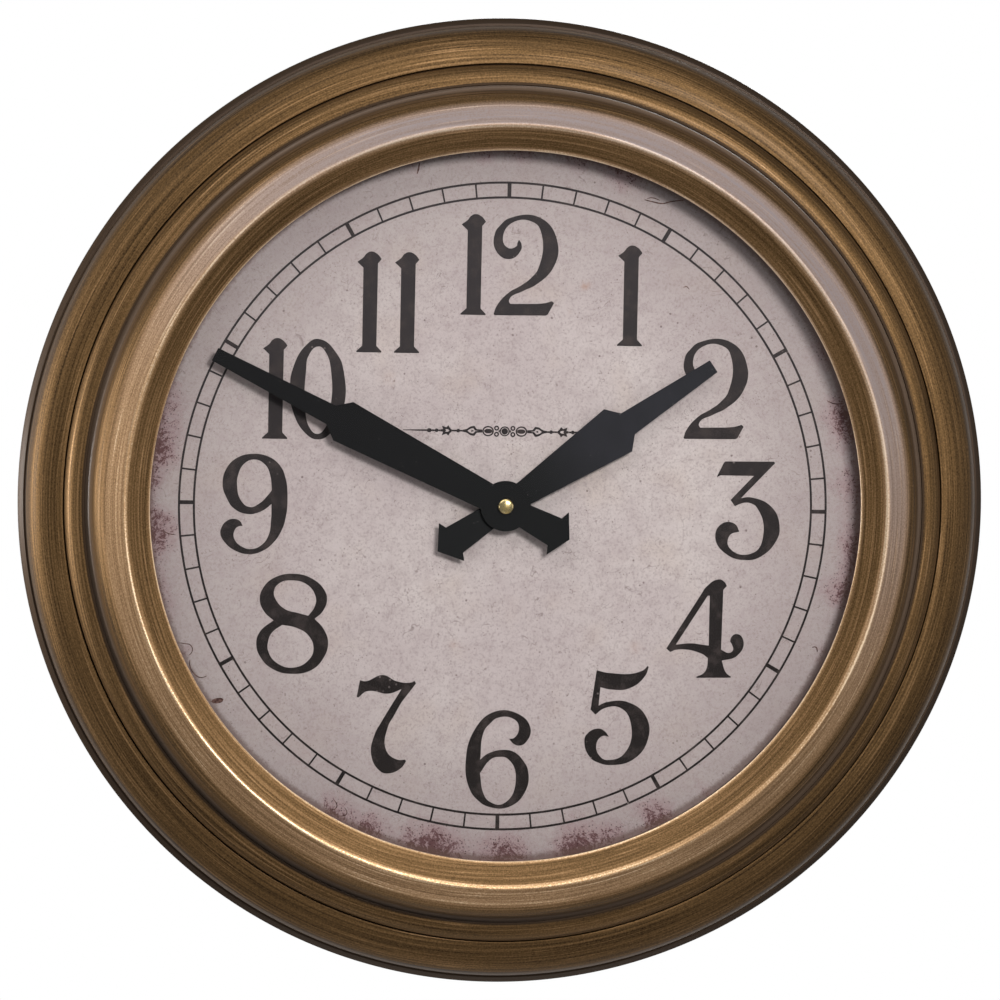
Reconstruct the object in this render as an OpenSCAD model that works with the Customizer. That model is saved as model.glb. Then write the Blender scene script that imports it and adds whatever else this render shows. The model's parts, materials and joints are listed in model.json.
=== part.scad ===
// Round battery wall clock with a stepped moulded frame, a paper dial and two hands.
// The clock is drawn lying on its back, with z towards the viewer, and is then stood upright.

/* [Case ring] */
// Overall diameter of the clock
case_d = 460; // [400:1:560]
// Height of the plain rear rim
rim_h = 9.5; // [8:0.5:14]
// Width of the plain rim outside the rounded moulding
rim_step = 3.6; // [3:0.1:6]
// Rounding of the plain rim's front corner
rim_round = 2.4; // [1:0.1:2.8]
// Width of the rounded moulding
ovolo_w = 18; // [14:0.5:24]
// Rise of the rounded moulding
ovolo_rise = 14.5; // [12:0.5:20]
// Thickness of the ledge that carries the inner ring
ledge_t = 4; // [3:0.5:5]
// Wall of the rear rim outside the back board
rear_wall = 5; // [4:0.5:7]
// Width of the seat that the back board rests on
back_ledge_w = 11; // [9:0.5:13]

/* [Bezel ring] */
// How deep the inner ring sits below the rounded moulding
seat_depth = 6; // [4:0.5:7]
// Width of the shadow groove between the two rings
groove_w = 1; // [0.5:0.1:2]
// Depth of that shadow groove
groove_depth = 1.4; // [0.8:0.1:2.5]
// Width of the bead
bead_w = 7.6; // [5:0.1:10]
// Rise of the bead
bead_rise = 7.4; // [5:0.1:10]
// Width of the flat fillet inside the bead
fillet_w = 1.2; // [0.6:0.1:2]
// Drop from that fillet into the cove
fillet_drop = 0.8; // [0.4:0.1:1.5]
// Width of the cove
cove_w = 5; // [3:0.1:7]
// Rise of the cove
cove_rise = 6; // [4:0.1:8]
// Width of the rounded step above the cove
step_w = 4.6; // [3:0.1:6]
// Rise of that rounded step
step_rise = 8.6; // [6:0.1:11]
// Width of the light band
band_w = 8.8; // [6:0.1:12]
// Rise of the light band
band_rise = 4.2; // [2:0.1:6]
// Width of the rounded crest
crest_w = 2.2; // [1.5:0.1:4]
// Height of the rounded crest above its two edges
crest_h = 0.7; // [0.4:0.1:1.5]
// Width of the inner slope
slope_w = 10; // [7:0.1:14]
// Drop of the inner slope
slope_drop = 6; // [4:0.1:8]
// Thickness of the lip in front of the glass
lip_t = 1.2; // [0.8:0.1:2]
// Width of the foot that stands on the case ledge
foot_w = 9.2; // [8:0.1:11]
// Height of that foot
foot_h = 4; // [3:0.5:6]
// Width of the shoulder behind the crest that the dial board is screwed to
shoulder_w = 11; // [9.5:0.5:13]

/* [Glass and dial] */
// Thickness of the glass
glass_t = 2; // [1.5:0.1:3]
// Width of glass hidden behind the lip
glass_overlap = 4.4; // [3:0.1:6]
// Thickness of the gasket behind the glass
gasket_t = 0.4; // [0.3:0.1:1]
// Wall of the spacer ring
spacer_wall = 2.8; // [2:0.1:4]
// Free height between the hand nut and the gasket
nut_clear = 0.8; // [0.5:0.1:6]
// Thickness of the paper dial
paper_t = 0.3; // [0.2:0.05:0.5]
// Thickness of the dial board
dial_t = 3; // [2:0.5:4]
// Width of the dial board that lies against the shoulder
dial_seat_w = 7.5; // [6:0.5:9]

/* [Hands] */
// Gap between the minute hand's tip and the opening of the bezel
minute_tip_gap = 13; // [8:0.5:30]
// How far the hour hand's tip stays behind the minute hand's tip
hour_tip_back = 36.2; // [30:0.1:45]
// Thickness of a hand
hand_t = 0.8; // [0.5:0.1:1]
// Radius of the round hub of a hand
hub_r = 11.9; // [9:0.1:14]
// Angle of the minute hand, clockwise from twelve
minute_angle = 297.8; // [0:0.1:360]
// Angle of the hour hand, clockwise from twelve
hour_angle = 56.3; // [0:0.1:360]
// Minute hand: half width at the tip
minute_tip_hw = 3.3; // [2:0.1:5]
// Minute hand: half width at the foot of the narrow bar
minute_bar_hw = 4.9; // [3:0.1:6]
// Minute hand: reach of the foot of the narrow bar
minute_bar_y = 93.2; // [70:0.1:100]
// Minute hand: half width at the shoulder
minute_shoulder_hw = 10.2; // [7:0.1:13]
// Minute hand: reach of the shoulder
minute_shoulder_y = 86.6; // [60:0.1:93]
// Minute hand: half width where the blade leaves the hub
minute_root_hw = 6.1; // [4:0.1:8]
// Minute hand: reach of the barbs on the tail
minute_barb_y = 27.8; // [20:0.1:35]
// Minute hand: half width of the barbs
minute_barb_hw = 11.3; // [8:0.1:14]
// Minute hand: reach of the tail's point
minute_tail_y = 34.1; // [28:0.1:45]
// Hour hand: half width at the tip
hour_tip_hw = 3.3; // [2:0.1:5]
// Hour hand: half width at the foot of the narrow bar
hour_bar_hw = 5.9; // [3:0.1:7]
// Hour hand: reach of the foot of the narrow bar
hour_bar_y = 69.7; // [50:0.1:78]
// Hour hand: half width at the shoulder
hour_shoulder_hw = 12; // [8:0.1:15]
// Hour hand: reach of the shoulder
hour_shoulder_y = 64.1; // [45:0.1:69]
// Hour hand: half width where the blade leaves the hub
hour_root_hw = 4.7; // [3:0.1:7]
// Hour hand: reach of the barbs on the tail
hour_barb_y = 30.6; // [22:0.1:36]
// Hour hand: half width of the barbs
hour_barb_hw = 10.8; // [8:0.1:14]
// Hour hand: reach of the tail's point
hour_tail_y = 38.6; // [30:0.1:48]
// Half width of the tails just before the barbs
tail_hw = 7.2; // [5:0.1:8]
// Half width of the tails where they leave the hub
tail_root_hw = 5; // [3:0.1:6]
// Length of the waist between tail and barbs
barb_back = 1.6; // [1:0.1:3]
// Radius of the domed hand nut
nut_r = 3.6; // [2.5:0.1:5]
// Height of the hand nut
nut_h = 2.4; // [1.6:0.1:2.6]

/* [Back] */
// Thickness of the back board
back_t = 3; // [2:0.5:4]
// Distance of the back board from the wall
back_inset = 3.2; // [3:0.1:5]
// Room around the movement in the back board's window
window_gap = 5; // [3:0.5:15]
// Corner radius of that window
window_round = 6; // [2:0.5:10]

/* [Hanger] */
// Radius of the keyhole's round entry
keyhole_r = 5; // [4:0.5:6]
// Width of the keyhole's slot
slot_w = 4.6; // [3:0.1:5]
// Length of the slot above the entry's centre
slot_len = 10; // [8:0.5:12]
// Width of the hanger plate
hanger_w = 44; // [38:1:56]
// Thickness of the hanger plate
hanger_t = 1.2; // [0.8:0.1:1.6]
// Metal between the keyhole and the plate's upper and lower edges
hanger_margin = 8; // [6:0.5:12]
// Distance of the keyhole's entry inside the case ring's rib
keyhole_inset = 22; // [20:0.5:30]
// Metal outside the heads of the hanger's screws
hanger_edge = 2; // [1:0.5:4]
// Room around the keyhole in the back board for a screw head
head_room = 2.5; // [1:0.5:4]

/* [Movement] */
// Width and height of the movement's case
movement_w = 56; // [56:1:70]
// Depth of the movement's case
movement_depth = 16.5; // [16.5:0.5:20]
// Side wall of the movement's case
movement_wall = 1.4; // [1:0.1:2]
// Front wall of the movement's case
front_wall = 1.5; // [1:0.1:2]
// Thickness of the movement's back plate
back_plate_t = 1.5; // [1.2:0.1:2]
// Thickness of the middle plate
plate_t = 0.8; // [0.6:0.1:1.2]
// Outer radius of the threaded centre bush
bush_r = 3.9; // [3.7:0.1:5]
// How far the bush stands out of the dial
bush_stand = 3.6; // [3:0.1:5]
// Thickness of the rubber washer behind the dial board
rubber_t = 1; // [0.5:0.1:2]
// Outer radius of the rubber washer
rubber_r = 9; // [7:0.5:12]
// Thickness of the brass washer
washer_t = 0.5; // [0.3:0.1:1]
// Outer radius of the brass washer
washer_r = 7.5; // [7:0.5:9]
// Height of the hex nut
hex_h = 2; // [1.5:0.1:2.4]
// Half width of the hex nut across its corners
hex_r = 6.4; // [5.5:0.1:8]
// Radius of the setting knob
knob_r = 5; // [4:0.5:6]
// Thickness of the setting knob
knob_t = 1.8; // [1.5:0.1:2.5]
// Flutes around the knob
knob_flutes = 20; // [12:1:24]

/* [Gear train] */
// Pressure angle of the teeth
pressure_angle = 25; // [20:1:25]
// Backlash taken from each flank
backlash = 0.03; // [0.02:0.005:0.04]
// Thickness of a wheel
wheel_t = 0.8; // [0.6:0.1:1]
// Free height between two layers of wheels
layer_gap = 1; // [0.8:0.1:1.2]
// How far a pinion stands past its wheel on each side
pinion_over = 0.2; // [0.1:0.05:0.3]
// Module of the fast train
train_module = 0.2; // [0.18:0.01:0.22]
// Module of the motion work
motion_module = 0.25; // [0.24:0.01:0.27]
// Radius of the slim arbors
arbor_r = 0.5; // [0.4:0.05:0.55]
// Radius of the centre arbor
centre_arbor_r = 0.8; // [0.7:0.05:0.85]
// Radius of the cannon pinion's pipe
cannon_r = 1.75; // [1.7:0.05:1.9]
// Radius of the hour wheel's pipe
hour_pipe_r = 2.7; // [2.5:0.05:3]
// Radius of the setting shaft
setting_r = 1; // [0.8:0.1:1.2]

/* [Battery] */
// Diameter of the cell
cell_d = 14.5; // [14:0.1:14.5]
// Length of the cell without its nub
cell_len = 49.2; // [48:0.1:49.2]
// Radius of the nub
nub_r = 2.7; // [2:0.1:3]
// Length of the nub
nub_len = 1.4; // [1:0.1:1.5]
// Thickness of the contact leaves
leaf_t = 0.4; // [0.3:0.1:0.5]

/* [Fasteners] */
// Screws in each ring of screws
ring_screws = 8; // [6:2:12]
// Radius of a screw's shank
shank_r = 1.7; // [1.2:0.1:2]
// Length of a screw's shank
shank_len = 11; // [8:0.5:12]
// Radius of a screw's head
head_r = 3.2; // [2.6:0.1:3.6]
// Height of a screw's head
head_h = 1.8; // [1.2:0.1:2.2]
// Width of the cross in a screw's head
cross_w = 0.7; // [0.5:0.1:1]
// Taper of a screw's head
head_taper = 0.6; // [0.2:0.1:1]

/* [Clearances] */
// Radial clearance of a running shaft
running = 0.05; // [0.02:0.01:0.08]
// Radial clearance of a pushed or screwed fit
snug = 0.02; // [0.01:0.01:0.04]
// Radial clearance of a ring or disc that drops into its seat
drop_in = 0.3; // [0.2:0.05:0.5]
// Clearance around the cell
cell_clear = 0.25; // [0.2:0.05:0.5]
// Axial clearance between turning pieces
end_play = 0.4; // [0.2:0.1:0.5]

/* [Hidden] */
$fn = 96;
// How far a cutting shape runs past a face, and how deep a post is rooted in its wall
cut = 1;
root = 0.5;

// Radii of the mouldings, from the outside inwards
case_r = case_d / 2;
ovolo_r = case_r - rim_step;
ring_bore_r = ovolo_r - ovolo_w;
bezel_r = ring_bore_r - drop_in;
bead_r = bezel_r - groove_w;
fillet_r = bead_r - bead_w;
cove_r = fillet_r - fillet_w;
step_r = cove_r - cove_w;
band_r = step_r - step_w;
crest_r = band_r - band_w;
slope_r = crest_r - crest_w;
lip_r = slope_r - slope_w;
glass_r = lip_r + glass_overlap;
glass_bore_r = glass_r + drop_in;
dial_r = glass_bore_r + dial_seat_w;
shoulder_r = glass_bore_r + shoulder_w;
foot_r = bezel_r - foot_w;
back_bore_r = case_r - rear_wall;
back_r = back_bore_r - drop_in;
rib_r = back_bore_r - back_ledge_w;

// Heights of the mouldings above the wall
ovolo_z = rim_h + ovolo_rise;
seat_z = ovolo_z - seat_depth;
groove_z = ovolo_z - groove_depth;
bead_z = ovolo_z + bead_rise;
quirk_z = bead_z - fillet_drop;
step_z = quirk_z + cove_rise;
band_z = step_z + step_rise;
crest_z = band_z + band_rise;
lip_z = crest_z - slope_drop;
glass_z = lip_z - lip_t - glass_t;
gasket_z = glass_z - gasket_t;
hand_gap = 1.4;
hand_room = bush_stand + end_play + 2 * hand_t + hand_gap + nut_h + nut_clear;
paper_z = gasket_z - hand_room;
dial_z = paper_z - paper_t;
board_z = dial_z - dial_t;
back_seat_z = back_inset + back_t;
hanger_z = back_inset - hanger_t;

// Screw circles and pilot holes
pilot_r = shank_r + snug;
pilot_len = shank_len + end_play;
bezel_screw_r = foot_r + foot_w / 2;
dial_screw_r = glass_bore_r + dial_seat_w / 2;
back_screw_r = rib_r + back_ledge_w / 2;
half_pitch = 180 / ring_screws;

// Keyhole and hanger plate
keyhole_y = rib_r - keyhole_inset;
slot_top_y = keyhole_y + slot_len + slot_w / 2;
hanger_low_y = keyhole_y - keyhole_r - hanger_margin;
hanger_high_y = slot_top_y + hanger_margin;
hanger_screw_x = hanger_w / 2 - head_r - hanger_edge;
hanger_screw_len = back_t;

// Depths inside the movement, counted back from its front face
move_z = board_z - rubber_t;
half_w = movement_w / 2;
inner_hw = half_w - movement_wall;
shell_depth = movement_depth - back_plate_t;
flange_t = 0.5;
flange_w = 1.6;
flange_r = bush_r + flange_w;
hour_d = front_wall + flange_t + end_play;
minute_d = hour_d + wheel_t + layer_gap;
centre_d = minute_d + wheel_t + layer_gap;
plate_d = centre_d + wheel_t + layer_gap;
plate_back_d = plate_d + plate_t;
third_d = plate_back_d + layer_gap;
second_d = third_d + wheel_t + layer_gap;
inter_d = second_d + wheel_t + layer_gap;
pivot_len = 1;
pivot_d = shell_depth + pivot_len;
boss_wall = 1;
boss_h = 1.4;
boss_floor = 0.5;
boss_d = front_wall + boss_h;
boss_pivot_d = front_wall + boss_floor;

// Teeth of the train: pinions drive the wheels named after them
pinion_teeth = 12;
inter_teeth = 60;
second_teeth = 72;
third_teeth = 96;
centre_teeth = 90;
cannon_teeth = 15;
minute_teeth = 45;
hour_teeth = 48;
addendum = 0.8;
dedendum = 1.05;

// Centre distances, and the modules that share one distance
rotor_dist = train_module * (pinion_teeth + inter_teeth) / 2;
inter_dist = train_module * (pinion_teeth + second_teeth) / 2;
third_dist = train_module * (pinion_teeth + third_teeth) / 2;
centre_module = 2 * third_dist / (pinion_teeth + centre_teeth);
motion_dist = motion_module * (cannon_teeth + minute_teeth) / 2;
hour_module = 2 * motion_dist / (pinion_teeth + hour_teeth);

// Directions from one arbor to the next, and the arbors themselves
third_dir = 165;
inter_dir = 30;
rotor_dir = 20;
motion_dir = 90;
third_at = third_dist * [cos(third_dir), sin(third_dir)];
inter_at = inter_dist * [cos(inter_dir), sin(inter_dir)];
rotor_at = inter_at + rotor_dist * [cos(rotor_dir), sin(rotor_dir)];
minute_at = motion_dist * [cos(motion_dir), sin(motion_dir)];
setting_at = 2 * minute_at;

// Phase at which a driven gear's gaps meet the teeth of its driver
function mesh_phase(dir, driver_phase, driver_teeth, teeth) =
    dir + 180 - (driver_phase - dir) * driver_teeth / teeth + 180 / teeth;
third_phase = mesh_phase(third_dir, 0, pinion_teeth, third_teeth);
centre_phase = mesh_phase(third_dir + 180, 0, pinion_teeth, centre_teeth);
inter_phase = mesh_phase(inter_dir, 0, second_teeth, pinion_teeth);
rotor_phase = mesh_phase(rotor_dir, 0, inter_teeth, pinion_teeth);
minute_phase = mesh_phase(motion_dir, 0, cannon_teeth, minute_teeth);
hour_phase = mesh_phase(motion_dir + 180, 0, pinion_teeth, hour_teeth);
setting_phase = mesh_phase(motion_dir, minute_phase, minute_teeth, cannon_teeth);

// Heights of the hand stack above the wall
bush_z = dial_z + paper_t + bush_stand;
hour_hand_z = bush_z + end_play;
hour_pipe_z = hour_hand_z + hand_t;
minute_hand_z = hour_pipe_z + hand_gap;
thread_z = minute_hand_z + hand_t + nut_h / 2;
thread_step = 0.35;
thread_r = cannon_r - thread_step;
sleeve_step = 0.5;
sleeve_r = cannon_r - sleeve_step;
post_r = 0.6;

// Cell, its bay and the partition above it
cell_r = cell_d / 2;
bay_top_y = -inner_hw + cell_d + 2 * cell_clear;
partition_t = 1;
cell_y = -inner_hw + cell_r + cell_clear;
cell_depth = front_wall + cell_r + cell_clear;
cell_x = -(cell_len + nub_len) / 2;
nub_x = cell_x + cell_len + nub_len;
contact_hw = 4.5;
contact_d = 3;
pad_r = 1.8;

// Stator, coil and circuit board
stator_t = 0.8;
magnet_r = 2.4;
magnet_gap = 0.5;
magnet_h = 2;
pole_r = 4.6;
arm_hw = 2.2;
core_hw = 1;
coil_inset = 5.4;
coil_y = inner_hw - coil_inset;
coil_gap = 2.5;
coil_len = 18;
coil_x = -setting_r - coil_gap - coil_len;
bobbin_r = 1.8;
bobbin_bore_r = 1.3;
bobbin_flange_r = 3.2;
bobbin_flange_t = 0.8;
winding_r = 2.8;
circuit_w = 8.8;
circuit_t = 1;
circuit_low_y = -9;
crystal_r = 1;
crystal_len = 6;

// Middle plate and the pillars under it
plate_left_x = -16.5;
plate_right_x = 19.5;
plate_low_y = -9;
plate_high_y = 12;
pillar_r = 1.2;
pillar_in = 1.5;

bronze = [0.46, 0.34, 0.18];
old_gold = [0.55, 0.43, 0.25];
brass = [0.78, 0.6, 0.27];
steel = [0.62, 0.63, 0.65];
black = [0.07, 0.07, 0.08];
fibre = [0.5, 0.37, 0.24];

// Points of an elliptical arc, from one angle to another
function arc(centre, rx, ry, from, to, steps = 10) =
    [for (i = [0 : steps])
        let (a = from + (to - from) * i / steps)
        centre + [rx * cos(a), ry * sin(a)]];

// Involute angle in degrees
function involute(a) = tan(a) * 180 / PI - a;

// Half the angle of a tooth at radius r, less the backlash
function tooth_angle(r, pitch_r, teeth) =
    let (base_r = pitch_r * cos(pressure_angle))
    90 / teeth - backlash / pitch_r * 180 / PI + involute(pressure_angle)
        - (r > base_r ? involute(acos(base_r / r)) : 0);

// Outline of a gear with its first tooth at the phase angle
function gear_outline(teeth, mod, phase) =
    let (
        pitch_r = teeth * mod / 2,
        radii = [pitch_r - dedendum * mod, pitch_r, pitch_r + addendum * mod],
        half = [for (r = radii) tooth_angle(r, pitch_r, teeth)]
    )
    [for (i = [0 : teeth - 1])
        let (mid = phase + i * 360 / teeth)
        for (k = [0 : 5])
            let (j = k < 3 ? k : 5 - k, a = mid + (k < 3 ? -half[j] : half[j]))
            radii[j] * [cos(a), sin(a)]];

// Stands the clock upright, with its dial facing forwards
module upright() {
    rotate([90, 0, 0])
        children();
}

// Copies around the hand axis
module around(count, r, start) {
    for (i = [0 : count - 1])
        rotate(start + 360 * i / count)
            translate([r, 0, 0])
                children();
}

// Cylinder between two depths of the movement
module barrel(from_d, to_d, r) {
    translate([0, 0, move_z - to_d])
        cylinder(r = r, h = to_d - from_d);
}

// Box between two depths of the movement
module block(from_d, to_d, low, high) {
    translate([low[0], low[1], move_z - to_d])
        cube([high[0] - low[0], high[1] - low[1], to_d - from_d]);
}

// Gear between two depths of the movement
module gear(from_d, to_d, teeth, mod, phase) {
    translate([0, 0, move_z - to_d])
        linear_extrude(to_d - from_d)
            polygon(gear_outline(teeth, mod, phase));
}

// Wheel in its layer
module wheel(d, teeth, mod, phase) {
    gear(d, d + wheel_t, teeth, mod, phase);
}

// Pinion that meshes with the wheel of a layer
module pinion(d, teeth, mod, phase) {
    gear(d - pinion_over, d + wheel_t + pinion_over, teeth, mod, phase);
}

// Tube of two radii between two heights
module tube(low_z, high_z, outer_r, inner_r) {
    translate([0, 0, low_z])
        difference() {
            cylinder(r = outer_r, h = high_z - low_z);
            translate([0, 0, -cut])
                cylinder(r = inner_r, h = high_z - low_z + 2 * cut);
        }
}

// Pan-head screw that points forwards, with the underside of its head at z = 0
module screw(length) {
    cylinder(r = shank_r, h = length);
    difference() {
        translate([0, 0, -head_h])
            cylinder(r1 = head_r - head_taper, r2 = head_r, h = head_h);
        for (a = [0, 90])
            rotate(a)
                translate([-head_r / 2, -cross_w / 2, -head_h - cut])
                    cube([head_r, cross_w, cut + head_h / 2]);
    }
}

// Keyhole outline, widened by a margin
module keyhole(margin) {
    translate([0, keyhole_y])
        circle(r = keyhole_r + margin);
    translate([0, keyhole_y + slot_len])
        circle(r = slot_w / 2 + margin);
    translate([-slot_w / 2 - margin, keyhole_y])
        square([slot_w + 2 * margin, slot_len]);
}

// Rectangle with round corners
module round_square(w, r) {
    square([w, w - 2 * r], center = true);
    square([w - 2 * r, w], center = true);
    for (x = [-1, 1], y = [-1, 1])
        translate([x, y] * (w / 2 - r))
            circle(r = r);
}

// Right half of a hand that points up, from tip to tail
function hand_side(tip, bar, shoulder, root_hw, barb, tail_y) = [
    tip, bar, shoulder, [root_hw, 0], [tail_root_hw, 0],
    [tail_hw, -barb[1] + barb_back], [barb[0], -barb[1]], [0, -tail_y]
];

// Flat hand with its hub, turned to its angle
module hand(side, z, angle, bore_r) {
    mirrored = [for (i = [len(side) - 2 : -1 : 0]) [-side[i][0], side[i][1]]];
    translate([0, 0, z])
        rotate(-angle)
            difference() {
                union() {
                    linear_extrude(hand_t)
                        polygon(concat(side, mirrored));
                    cylinder(r = hub_r, h = hand_t);
                }
                translate([0, 0, -cut])
                    cylinder(r = bore_r, h = hand_t + 2 * cut);
            }
}

module case_ring() {
    section = concat(
        [[case_r, 0]],
        arc([case_r - rim_round, rim_h - rim_round], rim_round, rim_round, 0, 90, 6),
        arc([ring_bore_r, rim_h], ovolo_w, ovolo_rise, 0, 90, 14),
        [
            [ring_bore_r, seat_z], [foot_r - drop_in, seat_z], [foot_r - drop_in, seat_z - ledge_t],
            [rib_r, seat_z - ledge_t], [rib_r, back_seat_z], [back_bore_r, back_seat_z], [back_bore_r, 0]
        ]
    );
    color(bronze)
        upright()
            difference() {
                rotate_extrude()
                    polygon(section);
                around(ring_screws, bezel_screw_r, 0)
                    translate([0, 0, seat_z - ledge_t - cut])
                        cylinder(r = shank_r + drop_in, h = ledge_t + 2 * cut);
                around(ring_screws, back_screw_r, half_pitch)
                    translate([0, 0, back_seat_z - cut])
                        cylinder(r = pilot_r, h = cut + pilot_len - back_t);
            }
}

module bezel_ring() {
    section = concat(
        [[bezel_r, seat_z], [bezel_r, groove_z], [bead_r, groove_z]],
        arc([fillet_r, ovolo_z], bead_w, bead_rise, 0, 90),
        [[cove_r, bead_z], [cove_r, quirk_z]],
        arc([cove_r, step_z], cove_w, cove_rise, 270, 180),
        arc([band_r, step_z], step_w, step_rise, 0, 90),
        arc([crest_r - crest_w / 2, crest_z], crest_w / 2, crest_h, 0, 180, 8),
        [
            [lip_r, lip_z], [lip_r, lip_z - lip_t], [glass_bore_r, lip_z - lip_t], [glass_bore_r, dial_z],
            [shoulder_r, dial_z], [foot_r, seat_z + foot_h], [foot_r, seat_z]
        ]
    );
    color(old_gold)
        upright()
            difference() {
                rotate_extrude()
                    polygon(section);
                around(ring_screws, bezel_screw_r, 0)
                    translate([0, 0, seat_z - cut])
                        cylinder(r = pilot_r, h = cut + pilot_len - ledge_t);
                around(ring_screws, dial_screw_r, half_pitch)
                    translate([0, 0, dial_z - cut])
                        cylinder(r = pilot_r, h = cut + pilot_len - dial_t);
            }
}

module glass_lens() {
    color([0.8, 0.9, 0.92, 0.3])
        upright()
            translate([0, 0, glass_z])
                cylinder(r = glass_r, h = glass_t);
}

module lens_gasket() {
    color(black)
        upright()
            tube(gasket_z, glass_z, glass_r, glass_r - spacer_wall);
}

module spacer_ring() {
    color(black)
        upright()
            tube(paper_z, gasket_z, glass_r, glass_r - spacer_wall);
}

module dial_paper() {
    color([0.79, 0.73, 0.71])
        upright()
            tube(dial_z, paper_z, glass_r, bush_r + drop_in);
}

module dial_board() {
    color(fibre)
        upright()
            difference() {
                tube(board_z, dial_z, dial_r, bush_r + drop_in);
                around(ring_screws, dial_screw_r, half_pitch)
                    translate([0, 0, board_z - cut])
                        cylinder(r = shank_r + drop_in, h = dial_t + 2 * cut);
            }
}

module dial_screws() {
    color(steel)
        upright()
            around(ring_screws, dial_screw_r, half_pitch)
                translate([0, 0, board_z])
                    screw(shank_len);
}

module bezel_screws() {
    color(steel)
        upright()
            around(ring_screws, bezel_screw_r, 0)
                translate([0, 0, seat_z - ledge_t])
                    screw(shank_len);
}

module back_board() {
    color(fibre)
        upright()
            translate([0, 0, back_inset])
                difference() {
                    cylinder(r = back_r, h = back_t);
                    translate([0, 0, -cut])
                        linear_extrude(back_t + 2 * cut)
                            round_square(movement_w + 2 * window_gap, window_round);
                    translate([0, 0, -cut])
                        linear_extrude(back_t + 2 * cut)
                            keyhole(head_room);
                    around(ring_screws, back_screw_r, half_pitch)
                        translate([0, 0, -cut])
                            cylinder(r = shank_r + drop_in, h = back_t + 2 * cut);
                    for (x = [-1, 1])
                        translate([x * hanger_screw_x, keyhole_y, -cut])
                            cylinder(r = pilot_r, h = back_t + 2 * cut);
                }
}

module back_screws() {
    color(steel)
        upright()
            around(ring_screws, back_screw_r, half_pitch)
                translate([0, 0, back_inset])
                    screw(shank_len);
}

module hanger_plate() {
    color(steel)
        upright()
            translate([0, 0, hanger_z])
                linear_extrude(hanger_t)
                    difference() {
                        translate([-hanger_w / 2, hanger_low_y])
                            square([hanger_w, hanger_high_y - hanger_low_y]);
                        keyhole(0);
                        for (x = [-1, 1])
                            translate([x * hanger_screw_x, keyhole_y])
                                circle(r = shank_r + drop_in);
                    }
}

module hanger_screws() {
    color(steel)
        upright()
            for (x = [-1, 1])
                translate([x * hanger_screw_x, keyhole_y, hanger_z])
                    screw(hanger_screw_len);
}

module movement_front() {
    color([0.12, 0.12, 0.13])
        upright()
            difference() {
                union() {
                    difference() {
                        block(0, shell_depth, [-half_w, -half_w], [half_w, half_w]);
                        block(front_wall, shell_depth + cut,
                              [-inner_hw, bay_top_y + partition_t], [inner_hw, inner_hw]);
                        block(front_wall, shell_depth + cut,
                              [-inner_hw, -inner_hw], [inner_hw, bay_top_y]);
                    }
                    translate(minute_at)
                        barrel(front_wall - root, minute_d + wheel_t + end_play, post_r);
                    translate(third_at)
                        barrel(front_wall - root, boss_d, arbor_r + boss_wall);
                    translate(setting_at)
                        barrel(front_wall - root, boss_d, setting_r + boss_wall);
                    plate_pillars()
                        barrel(front_wall - root, plate_d, pillar_r);
                }
                translate([0, 0, move_z - front_wall - cut])
                    cylinder(r = bush_r + snug, h = front_wall + 2 * cut);
                translate(third_at)
                    barrel(boss_pivot_d, boss_d + cut, arbor_r + running);
                translate(setting_at)
                    barrel(boss_pivot_d, boss_d + cut, setting_r + running);
            }
}

// Copies at the four corners of the middle plate
module plate_pillars() {
    for (x = [plate_left_x + pillar_in, plate_right_x - pillar_in])
        for (y = [plate_low_y + pillar_in, plate_high_y - pillar_in])
            translate([x, y])
                children();
}

module movement_back() {
    color([0.12, 0.12, 0.13])
        upright()
            difference() {
                block(shell_depth, movement_depth, [-half_w, -half_w], [half_w, half_w]);
                block(shell_depth - cut, movement_depth + cut,
                      [-inner_hw, -inner_hw], [inner_hw, bay_top_y]);
                barrel(shell_depth - cut, pivot_d + running, centre_arbor_r + running);
                for (at = [third_at, inter_at, rotor_at])
                    translate(at)
                        barrel(shell_depth - cut, pivot_d + running, arbor_r + running);
                translate(setting_at)
                    barrel(shell_depth - cut, movement_depth + cut, setting_r + running);
            }
}

module middle_plate() {
    color(brass)
        upright()
            difference() {
                block(plate_d, plate_back_d, [plate_left_x, plate_low_y], [plate_right_x, plate_high_y]);
                barrel(plate_d - cut, plate_back_d + cut, cannon_r);
                translate(third_at)
                    barrel(plate_d - cut, plate_back_d + cut, arbor_r + drop_in);
                for (at = [inter_at, rotor_at])
                    translate(at)
                        barrel(plate_d - cut, plate_back_d + cut, arbor_r + running);
            }
}

module centre_bush() {
    color(brass)
        upright()
            difference() {
                union() {
                    translate([0, 0, move_z - front_wall])
                        cylinder(r = bush_r, h = bush_z - move_z + front_wall);
                    barrel(front_wall, front_wall + flange_t, flange_r);
                }
                translate([0, 0, move_z - front_wall - flange_t - cut])
                    cylinder(r = hour_pipe_r + running,
                             h = bush_z - move_z + front_wall + flange_t + 2 * cut);
            }
}

module rubber_washer() {
    color(black)
        upright()
            tube(move_z, board_z, rubber_r, bush_r + drop_in);
}

module bush_washer() {
    color(brass)
        upright()
            tube(paper_z, paper_z + washer_t, washer_r, bush_r + drop_in);
}

module bush_nut() {
    color(brass)
        upright()
            translate([0, 0, paper_z + washer_t])
                difference() {
                    cylinder(r = hex_r, h = hex_h, $fn = 6);
                    translate([0, 0, -cut])
                        cylinder(r = bush_r + snug, h = hex_h + 2 * cut);
                }
}

module circuit_board() {
    color([0.1, 0.35, 0.2])
        upright()
            block(front_wall, front_wall + circuit_t,
                  [-inner_hw, circuit_low_y], [-inner_hw + circuit_w, inner_hw]);
}

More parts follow.
